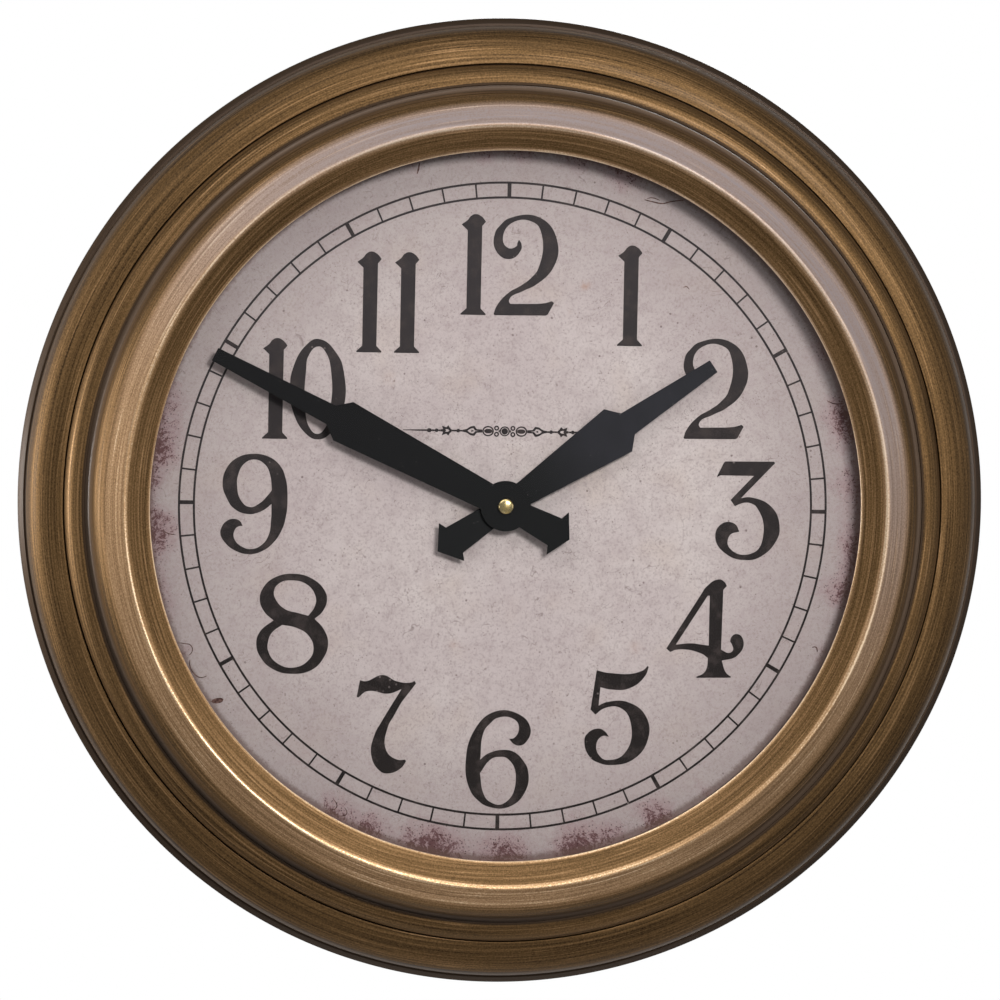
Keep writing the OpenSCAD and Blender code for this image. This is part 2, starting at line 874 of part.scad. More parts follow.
module quartz_crystal() {
    color(steel)
        upright()
            translate([-inner_hw + circuit_w / 2, 0, move_z - front_wall - circuit_t - crystal_r])
                rotate([-90, 0, 0])
                    cylinder(r = crystal_r, h = crystal_len);
}

// Lays a coil piece along x on the stator's core
module on_core() {
    translate([coil_x, coil_y, move_z - plate_back_d - stator_t / 2])
        rotate([0, 90, 0])
            children();
}

module coil_bobbin() {
    color([0.85, 0.83, 0.75])
        upright()
            on_core()
                difference() {
                    union() {
                        cylinder(r = bobbin_r, h = coil_len);
                        for (x = [0, coil_len - bobbin_flange_t])
                            translate([0, 0, x])
                                cylinder(r = bobbin_flange_r, h = bobbin_flange_t);
                    }
                    translate([0, 0, -cut])
                        cylinder(r = bobbin_bore_r, h = coil_len + 2 * cut);
                }
}

module coil_winding() {
    color([0.72, 0.35, 0.16])
        upright()
            on_core()
                tube(bobbin_flange_t, coil_len - bobbin_flange_t, winding_r, bobbin_r + snug);
}

module stator() {
    color(steel)
        upright()
            difference() {
                union() {
                    translate(rotor_at)
                        barrel(plate_back_d, plate_back_d + stator_t, pole_r);
                    block(plate_back_d, plate_back_d + stator_t,
                          [rotor_at[0] - arm_hw, rotor_at[1]], [rotor_at[0] + arm_hw, coil_y + core_hw]);
                    block(plate_back_d, plate_back_d + stator_t,
                          [coil_x - bobbin_flange_t, coil_y - core_hw], [rotor_at[0], coil_y + core_hw]);
                }
                translate(rotor_at)
                    barrel(plate_back_d - cut, plate_back_d + stator_t + cut, magnet_r + magnet_gap);
            }
}

module rotor() {
    color([0.3, 0.3, 0.32])
        upright()
            translate(rotor_at) {
                barrel(plate_d + running, pivot_d, arbor_r);
                barrel(plate_back_d + running, plate_back_d + magnet_h, magnet_r);
                pinion(inter_d, pinion_teeth, train_module, rotor_phase);
            }
}

module intermediate_wheel() {
    color([0.9, 0.9, 0.88])
        upright()
            translate(inter_at) {
                barrel(plate_d + running, pivot_d, arbor_r);
                pinion(second_d, pinion_teeth, train_module, inter_phase);
                wheel(inter_d, inter_teeth, train_module, 0);
            }
}

module second_wheel() {
    color([0.9, 0.9, 0.88])
        upright() {
            translate([0, 0, move_z - pivot_d])
                cylinder(r = centre_arbor_r, h = bush_z - move_z + pivot_d);
            pinion(third_d, pinion_teeth, train_module, 0);
            wheel(second_d, second_teeth, train_module, 0);
        }
}

module third_wheel() {
    color([0.9, 0.9, 0.88])
        upright()
            translate(third_at) {
                barrel(boss_pivot_d + running, pivot_d, arbor_r);
                pinion(centre_d, pinion_teeth, centre_module, 0);
                wheel(third_d, third_teeth, train_module, third_phase);
            }
}

module centre_wheel() {
    color(brass)
        upright()
            difference() {
                wheel(centre_d, centre_teeth, centre_module, centre_phase);
                barrel(centre_d - cut, centre_d + wheel_t + cut, sleeve_r + running);
            }
}

module cannon_pinion() {
    color(brass)
        upright()
            difference() {
                union() {
                    pinion(minute_d, cannon_teeth, motion_module, 0);
                    translate([0, 0, move_z - minute_d])
                        cylinder(r = cannon_r, h = minute_hand_z - move_z + minute_d);
                    translate([0, 0, minute_hand_z])
                        cylinder(r = thread_r, h = thread_z - minute_hand_z);
                    barrel(minute_d, centre_d + wheel_t + pinion_over, sleeve_r);
                }
                translate([0, 0, move_z - plate_d])
                    cylinder(r = centre_arbor_r + running, h = bush_z - move_z + plate_d + end_play);
            }
}

module minute_wheel() {
    color([0.9, 0.9, 0.88])
        upright()
            translate(minute_at)
                difference() {
                    union() {
                        wheel(minute_d, minute_teeth, motion_module, minute_phase);
                        gear(hour_d - pinion_over, minute_d, pinion_teeth, hour_module, 0);
                    }
                    barrel(hour_d - cut, minute_d + wheel_t + cut, post_r + running);
                }
}

module hour_wheel() {
    color([0.9, 0.9, 0.88])
        upright()
            difference() {
                union() {
                    wheel(hour_d, hour_teeth, hour_module, hour_phase);
                    translate([0, 0, move_z - hour_d])
                        cylinder(r = hour_pipe_r, h = hour_pipe_z - move_z + hour_d);
                }
                translate([0, 0, move_z - hour_d - wheel_t - cut])
                    cylinder(r = cannon_r + running,
                             h = hour_pipe_z - move_z + hour_d + wheel_t + 2 * cut);
            }
}

module setting_shaft() {
    color([0.9, 0.9, 0.88])
        upright()
            translate(setting_at) {
                barrel(boss_pivot_d + running, movement_depth + end_play + knob_t / 2, setting_r);
                pinion(minute_d, cannon_teeth, motion_module, setting_phase);
            }
}

module setting_knob() {
    flute_r = PI * knob_r / knob_flutes / 2;
    color([0.12, 0.12, 0.13])
        upright()
            translate(setting_at)
                difference() {
                    barrel(movement_depth + end_play, movement_depth + end_play + knob_t, knob_r);
                    barrel(movement_depth, movement_depth + end_play + knob_t / 2, setting_r + snug);
                    around(knob_flutes, knob_r + flute_r / 2, 0)
                        barrel(movement_depth, movement_depth + end_play + knob_t + cut, flute_r);
                }
}

// Leaf on an end wall of the cell's bay
module leaf(x) {
    block(contact_d, shell_depth - end_play,
          [x, cell_y - contact_hw], [x + leaf_t, cell_y + contact_hw]);
}

module battery_contact_positive() {
    color(steel)
        upright() {
            leaf(inner_hw - leaf_t);
            translate([nub_x + running, cell_y, move_z - cell_depth])
                rotate([0, 90, 0])
                    cylinder(r = pad_r, h = inner_hw - nub_x - running);
        }
}

module battery_contact_negative() {
    tip_x = cell_x - running;
    color(steel)
        upright() {
            leaf(-inner_hw);
            translate([0, cell_y + pad_r, move_z])
                rotate([90, 0, 0])
                    linear_extrude(2 * pad_r)
                        polygon([
                            [-inner_hw, -contact_d], [tip_x, -cell_depth], [tip_x, -cell_depth - leaf_t],
                            [tip_x - leaf_t, -cell_depth - leaf_t], [-inner_hw, -contact_d - 2 * leaf_t]
                        ]);
        }
}

module battery_cell() {
    color([0.2, 0.3, 0.2])
        upright()
            translate([cell_x, cell_y, move_z - cell_depth])
                rotate([0, 90, 0]) {
                    cylinder(r = cell_r, h = cell_len);
                    cylinder(r = nub_r, h = cell_len + nub_len);
                }
}

module hour_hand() {
    reach = lip_r - minute_tip_gap - hour_tip_back;
    side = hand_side([hour_tip_hw, reach], [hour_bar_hw, hour_bar_y], [hour_shoulder_hw, hour_shoulder_y],
                     hour_root_hw, [hour_barb_hw, hour_barb_y], hour_tail_y);
    color([0.2, 0.21, 0.24])
        upright()
            hand(side, hour_hand_z, hour_angle, hour_pipe_r + snug);
}

module minute_hand() {
    reach = lip_r - minute_tip_gap;
    side = hand_side([minute_tip_hw, reach], [minute_bar_hw, minute_bar_y],
                     [minute_shoulder_hw, minute_shoulder_y], minute_root_hw,
                     [minute_barb_hw, minute_barb_y], minute_tail_y);
    color(black)
        upright()
            hand(side, minute_hand_z, minute_angle, thread_r + snug);
}

module hand_nut() {
    dome_h = nut_h / 2;
    section = concat(
        [[0, 0], [nut_r, 0]],
        arc([0, nut_h - dome_h], nut_r, dome_h, 0, 90, 8)
    );
    color(brass)
        upright()
            translate([0, 0, minute_hand_z + hand_t])
                difference() {
                    rotate_extrude()
                        polygon(section);
                    translate([0, 0, -cut])
                        cylinder(r = thread_r + snug, h = cut + nut_h / 2 + running);
                }
}

case_ring();
bezel_ring();
glass_lens();
lens_gasket();
spacer_ring();
dial_paper();
dial_board();
dial_screws();
bezel_screws();
back_board();
back_screws();
hanger_plate();
hanger_screws();
movement_front();
movement_back();
middle_plate();
centre_bush();
rubber_washer();
bush_washer();
bush_nut();
circuit_board();
quartz_crystal();
coil_bobbin();
coil_winding();
stator();
rotor();
intermediate_wheel();
second_wheel();
third_wheel();
centre_wheel();
cannon_pinion();
minute_wheel();
hour_wheel();
setting_shaft();
setting_knob();
battery_contact_positive();
battery_contact_negative();
battery_cell();
hour_hand();
minute_hand();
hand_nut();
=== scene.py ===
"""A round wall clock with a stepped gilt moulding: its finishes, dial print, hands and light."""
import json
import math

import bmesh
import bpy
import numpy as np
from mathutils import Matrix, Vector


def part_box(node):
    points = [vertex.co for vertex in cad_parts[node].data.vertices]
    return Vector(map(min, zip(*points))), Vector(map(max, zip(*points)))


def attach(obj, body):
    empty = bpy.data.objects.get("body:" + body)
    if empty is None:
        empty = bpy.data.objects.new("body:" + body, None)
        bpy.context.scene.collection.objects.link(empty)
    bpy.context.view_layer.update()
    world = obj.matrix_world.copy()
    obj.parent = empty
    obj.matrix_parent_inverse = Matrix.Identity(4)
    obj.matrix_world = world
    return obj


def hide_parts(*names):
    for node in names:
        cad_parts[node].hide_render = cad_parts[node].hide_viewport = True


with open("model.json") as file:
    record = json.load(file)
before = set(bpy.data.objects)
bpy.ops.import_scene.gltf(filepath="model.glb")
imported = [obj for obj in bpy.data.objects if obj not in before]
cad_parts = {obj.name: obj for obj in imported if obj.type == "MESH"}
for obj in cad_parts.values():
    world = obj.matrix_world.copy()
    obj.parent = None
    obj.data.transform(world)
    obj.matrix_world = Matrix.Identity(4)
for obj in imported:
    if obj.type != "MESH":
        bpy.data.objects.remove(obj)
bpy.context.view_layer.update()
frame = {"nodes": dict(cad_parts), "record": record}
scene = bpy.context.scene
MM = 0.001

# Outer moulding, in millimetres: radii from the hand axis, depths ahead of the wall
CASE_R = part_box("case_ring")[1].x / MM
RIM_W = 2.6
RIM_Z = 9.5
OVOLO_R = 226.4
OVOLO_Z = -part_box("case_ring")[0].y / MM
BORE_R = 208.4
GROOVE_EASE = 0.3
SEAT_Z = 18
LEDGE_R = 198.6
LEDGE_BACK = 14
RIB_R = 214
BACK_SEAT = 6.2
BACK_BORE_R = 225

# Inner moulding
BEZEL_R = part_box("bezel_ring")[1].x / MM
GROOVE_Z = 23.3
BEAD_R = 207.9
BEAD_FOOT_Z = 24
BEAD_Z = 31.4
FILLET_R = 199.5
COVE_R = 198.3
QUIRK_Z = 30.6
STEP_R = 194.8
STEP_Z = 36.6
# How far the step curls over before it meets the band, in degrees
STEP_TURN = 58
BAND_R = 189.3
BAND_Z = 45.6
BAND_EDGE = 0.8
CREST_R = 180
CREST_TOP = -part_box("bezel_ring")[0].y / MM
CREST_ROUND = 2.2
# Tilts of the straight faces beside the crest, in degrees
BAND_TILT = 27.3
SLOPE_TILT = 29.8
# Rubbed bright from the crest this far in
RUBBED_W = 2.4
LIP_R = 167.7
LIP_Z = 43.4
LIP_BACK = 42.2
LIP_EDGE = 0.6
GLASS_BORE_R = 172.4
DIAL_Z = 29.3
SHOULDER_R = 183.4
FOOT_R = 198.9
FOOT_Z = 22

# How finely the mouldings are turned, and how their corners are rounded
TURN_STEPS = 360
LONGEST_EDGE = 0.8
ARRIS_ROUND = 0.35
SHARP_TURN = math.radians(25)
# The most of an edge that the round at one end may take
ROUND_SHARE = 0.45

# What each point of a moulding knows: its place along the section, then the levels of its paint
PAINT_FIELDS = ("along", "wear", "grime", "gold", "dust_and_sheen", "soot")
# Paint on the mouldings, in millimetres along the section
PAINT_GAP = 0.2
GOLD_BLEND = 0.5
DUST_BLEND = 0.7
# Wear and grime: how far they spread from a corner, and the turn that starts them
WEAR_REACH = 0.6
WEAR_FROM = 0.35
GRIME_REACH = 1.2
GRIME_FROM = 0.3
# How far the brush wanders across the moulding on its way round
STREAK_DRIFT = 5
# The side of the ring toward the lamps above and to the right, where the pale dust layer also carries a
# painted sheen
SHEEN_SIDE = (0.42, 0, 0.91)


def rgb(*levels):
    """A screen colour, 0 to 255, as the linear colour that shaders take."""
    shares = [level / 255 for level in levels]
    return (*(v / 12.92 if v <= 0.04045 else ((v + 0.055) / 1.055) ** 2.4 for v in shares), 1)


class Shader:
    """The node tree of a new material or world, with short calls for the nodes used here."""

    def __init__(self, name, store=bpy.data.materials):
        self.owner = store.new(name)
        self.owner.use_nodes = True
        self.tree = self.owner.node_tree
        self.tree.nodes.clear()

    def add(self, kind, inputs, **settings):
        """A new node. Its inputs are linked, or set to plain values."""
        node = self.tree.nodes.new("ShaderNode" + kind)
        for name, value in settings.items():
            setattr(node, name, value)
        for key, value in inputs.items():
            if isinstance(value, bpy.types.NodeSocket):
                self.tree.links.new(value, node.inputs[key])
            else:
                node.inputs[key].default_value = value
        return node

    def position(self):
        return self.add("TexCoord", {}).outputs["Object"]

    def attribute(self, name):
        return self.add("Attribute", {}, attribute_name=name).outputs["Fac"]

    def math(self, operation, a, b=0.0, clamp=False):
        return self.add("Math", {0: a, 1: b}, operation=operation, use_clamp=clamp).outputs[0]

    def plus(self, total, *others):
        for value in others:
            total = self.math("ADD", total, value)
        return total

    def minus(self, a, b):
        return self.math("SUBTRACT", a, b)

    def times(self, a, b):
        return self.math("MULTIPLY", a, b)

    def vector(self, operation, a, b=(0, 0, 0), output=0):
        return self.add("VectorMath", {0: a, 1: b}, operation=operation).outputs[output]

    def scaled(self, vector, by):
        return self.vector("MULTIPLY", vector, by)

    def dot(self, a, b):
        return self.vector("DOT_PRODUCT", a, b, "Value")

    def length(self, a):
        return self.vector("LENGTH", a, output="Value")

    def parts(self, vector):
        return self.add("SeparateXYZ", {0: vector}).outputs

    def join(self, x=0.0, y=0.0, z=0.0):
        return self.add("CombineXYZ", {0: x, 1: y, 2: z}).outputs[0]

    def noise(self, vector, scale, detail=2.0, roughness=0.5, distortion=0.0):
        inputs = {"Vector": vector, "Scale": scale, "Detail": detail}
        inputs |= {"Roughness": roughness, "Distortion": distortion}
        return self.add("TexNoise", inputs).outputs["Fac"]

    def cells(self, vector, scale):
        return self.add("TexVoronoi", {"Vector": vector, "Scale": scale}).outputs["Distance"]

    def rise(self, value, low, high, bottom=0.0, top=1.0):
        """A smooth step from bottom to top while value goes from low to high."""
        inputs = {"Value": value, "From Min": low, "From Max": high, "To Min": bottom, "To Max": top}
        return self.add("MapRange", inputs, interpolation_type="SMOOTHSTEP").outputs[0]

    def mix(self, factor, a, b):
        """The colour a where the factor is 0, b where it is 1."""
        return self.add("Mix", {0: factor, 6: a, 7: b}, data_type="RGBA").outputs[2]

    def ramp(self, value, stops):
        """A colour ramp. Stops are (place, colour)."""
        node = self.add("ValToRGB", {0: value})
        points = node.color_ramp.elements
        while len(points) < len(stops):
            points.new(1)
        for point, (place, colour) in zip(points, stops):
            point.position = place
            point.color = colour
        return node.outputs[0]

    def bump(self, height, strength, distance):
        inputs = {"Height": height, "Strength": strength, "Distance": distance}
        return self.add("Bump", inputs).outputs[0]

    def finish(self, surface, output="OutputMaterial"):
        self.add(output, {"Surface": surface})
        return self.owner

    def principled(self, colour, roughness, normal, **others):
        """Ends the material with one Principled surface. Names use _ for a space."""
        inputs = {"Base Color": colour, "Roughness": roughness, "Normal": normal}
        inputs |= {name.replace("_", " "): value for name, value in others.items()}
        self.finish(self.add("BsdfPrincipled", inputs).outputs[0])


# Paper, in millimetres from the hand axis: where it starts to dim and where it is dimmest, then where the
#  dark ring under the lip, dirt with painted shade, starts and where it is thickest, and how far that ring
#  wanders
DIM_FROM_R = 80
DIM_TO_R = 166
DIRT_AND_SHADE_FROM_R = 164.8
DIRT_AND_SHADE_TO_R = 167.8
DIRT_AND_SHADE_WANDER = 1.2
# Specks in the paper, small and many, then larger and fewer: cells per metre, size, cover, strength
SPECKS = [(520, 0.2, 0.49, 0.6), (210, 0.15, 0.53, 0.75)]
# Stains that creep in from the dial's edge: clock angle in degrees, half length along the edge and reach
# inward in millimetres, strength. The edge is rolled out from a clean stretch at STAIN_START.
DIAL_EDGE_R = 168
STAIN_START = 330
STAIN_WANDER = 9
STAINS = [
    (12, 34, 6, 0.2), (88, 50, 9, 0.22), (168, 48, 12, 0.25), (195, 48, 12, 0.25), (272, 52, 9, 0.22),
    (345, 3, 7, 0.5), (357, 9, 7, 0.6), (3, 8, 7, 0.6), (12, 8, 6, 0.5), (20, 12, 10, 0.75),
    (64, 10, 7, 0.55), (76, 14, 12, 1.0), (87, 12, 16, 0.6), (98, 16, 9, 0.9), (105, 8, 16, 0.7),
    (115, 7, 5, 0.4), (145, 3, 8, 0.5), (154, 10, 13, 1.0), (162, 8, 11, 0.6), (168, 13, 16, 0.95),
    (180, 12, 15, 0.9), (192, 17, 14, 1.05), (203, 9, 11, 0.85), (209, 9, 11, 0.8), (246, 4, 8, 0.5),
    (256, 16, 8, 0.55), (266, 12, 13, 1.1), (274, 7, 7, 0.55), (280, 14, 13, 1.1), (287, 11, 12, 0.6),
    (298, 5, 4, 0.4),
]
# Rust marks on the paper: place in millimetres from the axis, radius, strength
RUST_SPOTS = [
    (38, 104, 4, 0.6), (30, 92, 3, 0.25), (-54, 60, 5, 0.25), (62, -68, 5, 0.25), (-24, -66, 4, 0.2),
]

# Height on the dial where the painted sheen on the print starts, and where it is full, in millimetres
INK_SHEEN_FROM_Z = -100
INK_SHEEN_FULL_Z = 120
# Where the hands point at rest, clockwise from the top
MINUTE_ANGLE = math.radians(297.8)
HOUR_ANGLE = math.radians(56.3)
# Along a hand, where its painted sheen starts and where it is full, in millimetres
HAND_SHEEN_FROM = 12
HAND_SHEEN_TO = 60
# Fine repeats, in millimetres: turning marks on brass, tracks of the circuit, wire of the coil
TOOL_PITCH = 0.22
TRACK_PITCH = 1.7
WIRE_D = 0.22


# Materials

def frame_gold(s, spot):
    """Dark bronze paint with gold brushed on round the ring, rubbed bright on the arrises."""
    along, wear, grime, gold, dust_and_sheen, soot = map(s.attribute, PAINT_FIELDS)
    round_ring = s.vector("NORMALIZE", s.scaled(spot, (1, 0, 1)))
    sheen_side = s.dot(round_ring, SHEEN_SIDE)
    drift = s.minus(s.noise(round_ring, 0.9, 1), 0.5)
    drifting = s.plus(along, s.times(drift, STREAK_DRIFT * MM))

    def streaks(turns, lines, detail):
        """Noise drawn out round the ring: turns sets the length, lines the number per metre across."""
        spread = s.scaled(round_ring, (turns, turns, turns))
        across = s.join(y=s.times(drifting, lines))
        return s.noise(s.vector("ADD", spread, across), 1, detail, 0.55)

    hair = s.minus(streaks(2.2, 1200, 1), 0.5)
    strokes = s.minus(streaks(1.5, 480, 2), 0.5)
    flecks = s.minus(streaks(240, 1500, 1), 0.5)
    brushed = s.plus(s.times(hair, 0.62), s.times(strokes, 0.3), s.times(flecks, 0.45))
    brushed = s.times(brushed, s.plus(0.75, s.times(gold, 0.8)))
    scratch = s.rise(streaks(4, 1100, 0), 0.66, 0.78, 0, 0.18)
    level = s.plus(gold, brushed, scratch, s.times(wear, 0.15))
    level = s.math("SUBTRACT", level, s.times(grime, 0.5), clamp=True)
    stops = [
        (0.0, rgb(40, 27, 14)), (0.3, rgb(108, 82, 51)), (0.55, rgb(150, 117, 81)),
        (0.8, rgb(194, 156, 114)), (1.0, rgb(242, 214, 176)),
    ]
    paint = s.ramp(level, stops)
    # Painted sheen: the pale dust layer is full on the side toward the lamps above and right and fades
    # almost away below, in place of their reflection
    lit = s.rise(sheen_side, -0.3, 0.9, 0.08, 1.0)
    sheen_veil = s.times(s.times(dust_and_sheen, lit), s.rise(brushed, -0.25, 0.2, 0.6, 1.0))
    paint = s.mix(sheen_veil, paint, rgb(152, 141, 141))
    dulled = s.times(soot, s.rise(brushed, -0.2, 0.2, 1.0, 0.75))
    paint = s.mix(dulled, paint, rgb(124, 102, 83))
    rough = s.plus(s.rise(level, 0.45, 0.95, 0.54, 0.4), s.times(hair, 0.2), s.times(soot, 0.15))
    rough = s.plus(rough, s.times(sheen_veil, 0.25))
    metal = s.rise(soot, 0.2, 0.8, 0.88, 0.3)
    lacquer = s.plus(s.rise(soot, 0, 0.5, 0.05, 0.4), s.rise(level, 0.5, 0.95, 0, 0.35))
    relief = s.plus(s.times(hair, 0.6), s.times(strokes, 0.4))
    normal = s.bump(relief, 0.2, 0.0002)
    s.principled(
        paint, rough, normal, Metallic=metal, Specular_IOR_Level=0.3, Coat_Weight=lacquer,
        Coat_Roughness=0.24, Coat_IOR=1.45,
    )


def dial_print(s, spot):
    """Aged paper: warm grey pink with fibres and specks, and purple brown stains from the edge inwards."""
    cloud = s.noise(spot, 14, 4, 0.6)
    mottle = s.noise(spot, 160, 4, 0.65)
    grain = s.noise(spot, 900, 2, 0.6)
    from_axis = s.length(s.scaled(spot, (1, 0, 1)))
    x, _, z = s.parts(spot)
    paper = s.mix(s.rise(cloud, 0.3, 0.7), rgb(191, 176, 175), rgb(205, 192, 189))
    paper = s.mix(s.rise(s.noise(spot, 32), 0.5, 0.75, 0, 0.35), paper, rgb(192, 172, 160))
    paper = s.mix(s.rise(from_axis, DIM_FROM_R * MM, DIM_TO_R * MM, 0, 0.7), paper, rgb(160, 146, 144))
    paper = s.mix(s.rise(mottle, 0.4, 0.75, 0, 0.4), paper, rgb(164, 146, 146))
    paper = s.mix(s.rise(grain, 0.45, 0.75, 0, 0.5), paper, rgb(148, 131, 129))
    # Fibres: thin wandering lines, kept only in scattered patches
    thread = s.math("ABSOLUTE", s.minus(s.noise(spot, 130, 1, 0.5, 1.2), 0.5))
    thread_patch = s.rise(s.noise(spot, 110, 1), 0.58, 0.66)
    fibre = s.times(s.rise(thread, 0, 0.014, 1, 0), thread_patch)
    paper = s.mix(s.times(fibre, 0.55), paper, rgb(118, 100, 98))
    for scale, size, cover, strength in SPECKS:
        speck = s.rise(s.cells(spot, scale), size * 0.5, size, 1, 0)
        speck = s.times(speck, s.rise(s.noise(spot, scale / 5, 2), cover, cover + 0.1))
        paper = s.mix(s.times(speck, strength), paper, rgb(106, 88, 86))
    # Stains
    for spot_x, spot_z, radius, strength in RUST_SPOTS:
        apart = s.vector("SUBTRACT", s.join(x, 0, z), (spot_x * MM, 0, spot_z * MM))
        rust = s.rise(s.length(apart), 0, radius * MM, strength, 0)
        paper = s.mix(s.times(rust, s.rise(mottle, 0.35, 0.65)), paper, rgb(176, 136, 112))
    turn = s.math("DIVIDE", s.math("ARCTAN2", x, z), math.tau)
    turn = s.math("FRACT", s.plus(turn, 2 - STAIN_START / 360))
    inward = s.minus(DIAL_EDGE_R * MM, from_axis)
    rolled_out = s.join(s.times(turn, math.tau * DIAL_EDGE_R * MM), inward)
    wander = s.times(s.minus(s.noise(spot, 110), 0.5), STAIN_WANDER * MM)
    rolled_out = s.vector("ADD", rolled_out, s.join(wander, wander))
    patches = []
    for clock_angle, reach, depth, strength in STAINS:
        middle = (math.radians((clock_angle - STAIN_START) % 360) * DIAL_EDGE_R * MM, 0, 0)
        apart = s.vector("SUBTRACT", rolled_out, middle)
        apart = s.scaled(apart, (1 / reach / MM, 1 / depth / MM, 0))
        patches.append(s.rise(s.length(apart), 0, 1.6, strength, 0))
    stain = s.plus(*patches)
    drawn_out = s.scaled(rolled_out, (1, 0.8, 1))
    blot = s.minus(s.noise(drawn_out, 400, 5, 0.76), 0.5)
    spatter = s.minus(s.noise(spot, 1500, 2, 0.6), 0.5)
    ragged = s.plus(s.times(blot, 3.0), s.times(spatter, 1.2))
    soaked = s.rise(s.plus(stain, s.times(ragged, 0.45)), 0, 0.9)
    dark = s.rise(s.plus(stain, ragged), 0.72, 1.15)
    paper = s.mix(s.times(soaked, 0.65), paper, rgb(152, 120, 123))
    paper = s.mix(s.times(dark, 0.85), paper, rgb(84, 47, 48))
    grit = s.times(s.rise(s.cells(spot, 640), 0.14, 0.28, 0.8, 0), s.rise(stain, 0.15, 0.6))
    paper = s.mix(grit, paper, rgb(66, 40, 38))
    # Dirt and painted shade under the lip: a dark ring where the lip overhangs the paper
    dirt_and_shade_edge = s.plus(from_axis, s.times(ragged, DIRT_AND_SHADE_WANDER * MM))
    rim_dirt_and_shade = s.rise(dirt_and_shade_edge, DIRT_AND_SHADE_FROM_R * MM, DIRT_AND_SHADE_TO_R * MM, 0, 0.7)
    paper = s.mix(rim_dirt_and_shade, paper, rgb(98, 74, 66))
    rough = s.rise(grain, 0.3, 0.7, 0.7, 0.82)
    normal = s.bump(s.plus(grain, mottle), 0.15, 0.0001)
    s.principled(paper, rough, normal, Specular_IOR_Level=0.2)


def ink(s, spot):
    """Worn print: warm black with a painted sheen that pales it towards the top, and rubbed specks."""
    z = s.parts(spot)[2]
    # Painted sheen: the print pales towards the top of the dial
    tone = s.mix(s.rise(z, INK_SHEEN_FROM_Z * MM, INK_SHEEN_FULL_Z * MM), rgb(37, 32, 31), rgb(57, 52, 53))
    tone = s.mix(s.rise(s.noise(spot, 130, 4, 0.65), 0.45, 0.7, 0, 0.5), tone, rgb(78, 68, 66))
    rubbed = s.rise(s.cells(spot, 300), 0.08, 0.2, 1, 0)
    rubbed = s.times(rubbed, s.rise(s.noise(spot, 60), 0.56, 0.68))
    tone = s.mix(s.times(rubbed, 0.5), tone, rgb(150, 136, 133))
    normal = s.bump(s.noise(spot, 900, 2, 0.6), 0.12, 0.00005)
    s.principled(tone, 0.75, normal, Specular_IOR_Level=0.1)


def painted(s, spot, low, high, clock_angle):
    """Black paint on a stamped hand, with a painted sheen that grows paler along the blade, and specks of
    dust.
    """
    blade = (math.sin(clock_angle), 0, math.cos(clock_angle))
    along = s.dot(spot, blade)
    cloud = s.noise(spot, 90, 4, 0.6)
    # Painted sheen: the blade grows paler away from the hub, in place of the light it catches
    hand_sheen = s.times(s.rise(along, HAND_SHEEN_FROM * MM, HAND_SHEEN_TO * MM), s.rise(cloud, 0.3, 0.7, 0.75, 1.0))
    tone = s.mix(hand_sheen, low, high)
    mote = s.rise(s.cells(spot, 340), 0.06, 0.14, 0.35, 0)
    mote = s.times(mote, s.rise(s.noise(spot, 70), 0.5, 0.6))
    tone = s.mix(mote, tone, rgb(120, 116, 114))
    rough = s.plus(0.5, s.times(hand_sheen, 0.12))
    normal = s.bump(s.noise(spot, 1600), 0.08, 0.00004)
    s.principled(tone, rough, normal, Specular_IOR_Level=0.15)


def lens_glass():
    """Clear flat glass: a faint mirror over what is behind it."""
    s = Shader("lens_glass")
    clear = s.add("BsdfTransparent", {"Color": (0.985, 0.99, 0.988, 1)}).outputs[0]
    shine = s.add("BsdfGlossy", {"Color": (1, 1, 1, 1), "Roughness": 0.02}).outputs[0]
    # The inner face adds no mirror of its own
    outer = s.minus(1.0, s.add("NewGeometry", {}).outputs["Backfacing"])
    share = s.times(s.add("Fresnel", {"IOR": 1.15}).outputs[0], outer)
    return s.finish(s.add("MixShader", {0: share, 1: clear, 2: shine}).outputs[0])


def brown_line(s, spot):
    """Old scratches in the paper, filled with brown dirt."""
    tone = s.mix(s.rise(s.noise(spot, 700, 3), 0.35, 0.65), rgb(66, 44, 40), rgb(116, 88, 82))
    s.principled(tone, 0.8, s.bump(s.noise(spot, 1500), 0.1, 0.00004), Specular_IOR_Level=0.1)


def fibreboard(s, spot):
    """Pressed board: brown felted fibres with pale and dark slivers."""
    cloud = s.noise(spot, 22, 3, 0.6)
    fibres = s.noise(s.scaled(spot, (1, 1, 2.6)), 420, 3, 0.65, 1.0)
    slivers = s.noise(s.scaled(spot, (3.5, 1, 0.8)), 300, 2, 0.6, 0.8)
    tone = s.mix(s.rise(cloud, 0.3, 0.7), rgb(120, 89, 58), rgb(134, 102, 67))
    tone = s.mix(s.rise(fibres, 0.5, 0.7, 0, 0.65), tone, rgb(78, 54, 33))
    tone = s.mix(s.rise(slivers, 0.6, 0.72, 0, 0.55), tone, rgb(170, 136, 95))
    rough = s.rise(fibres, 0.3, 0.7, 0.7, 0.9)
    normal = s.bump(s.plus(fibres, slivers), 0.3, 0.0002)
    s.principled(tone, rough, normal, Specular_IOR_Level=0.25)


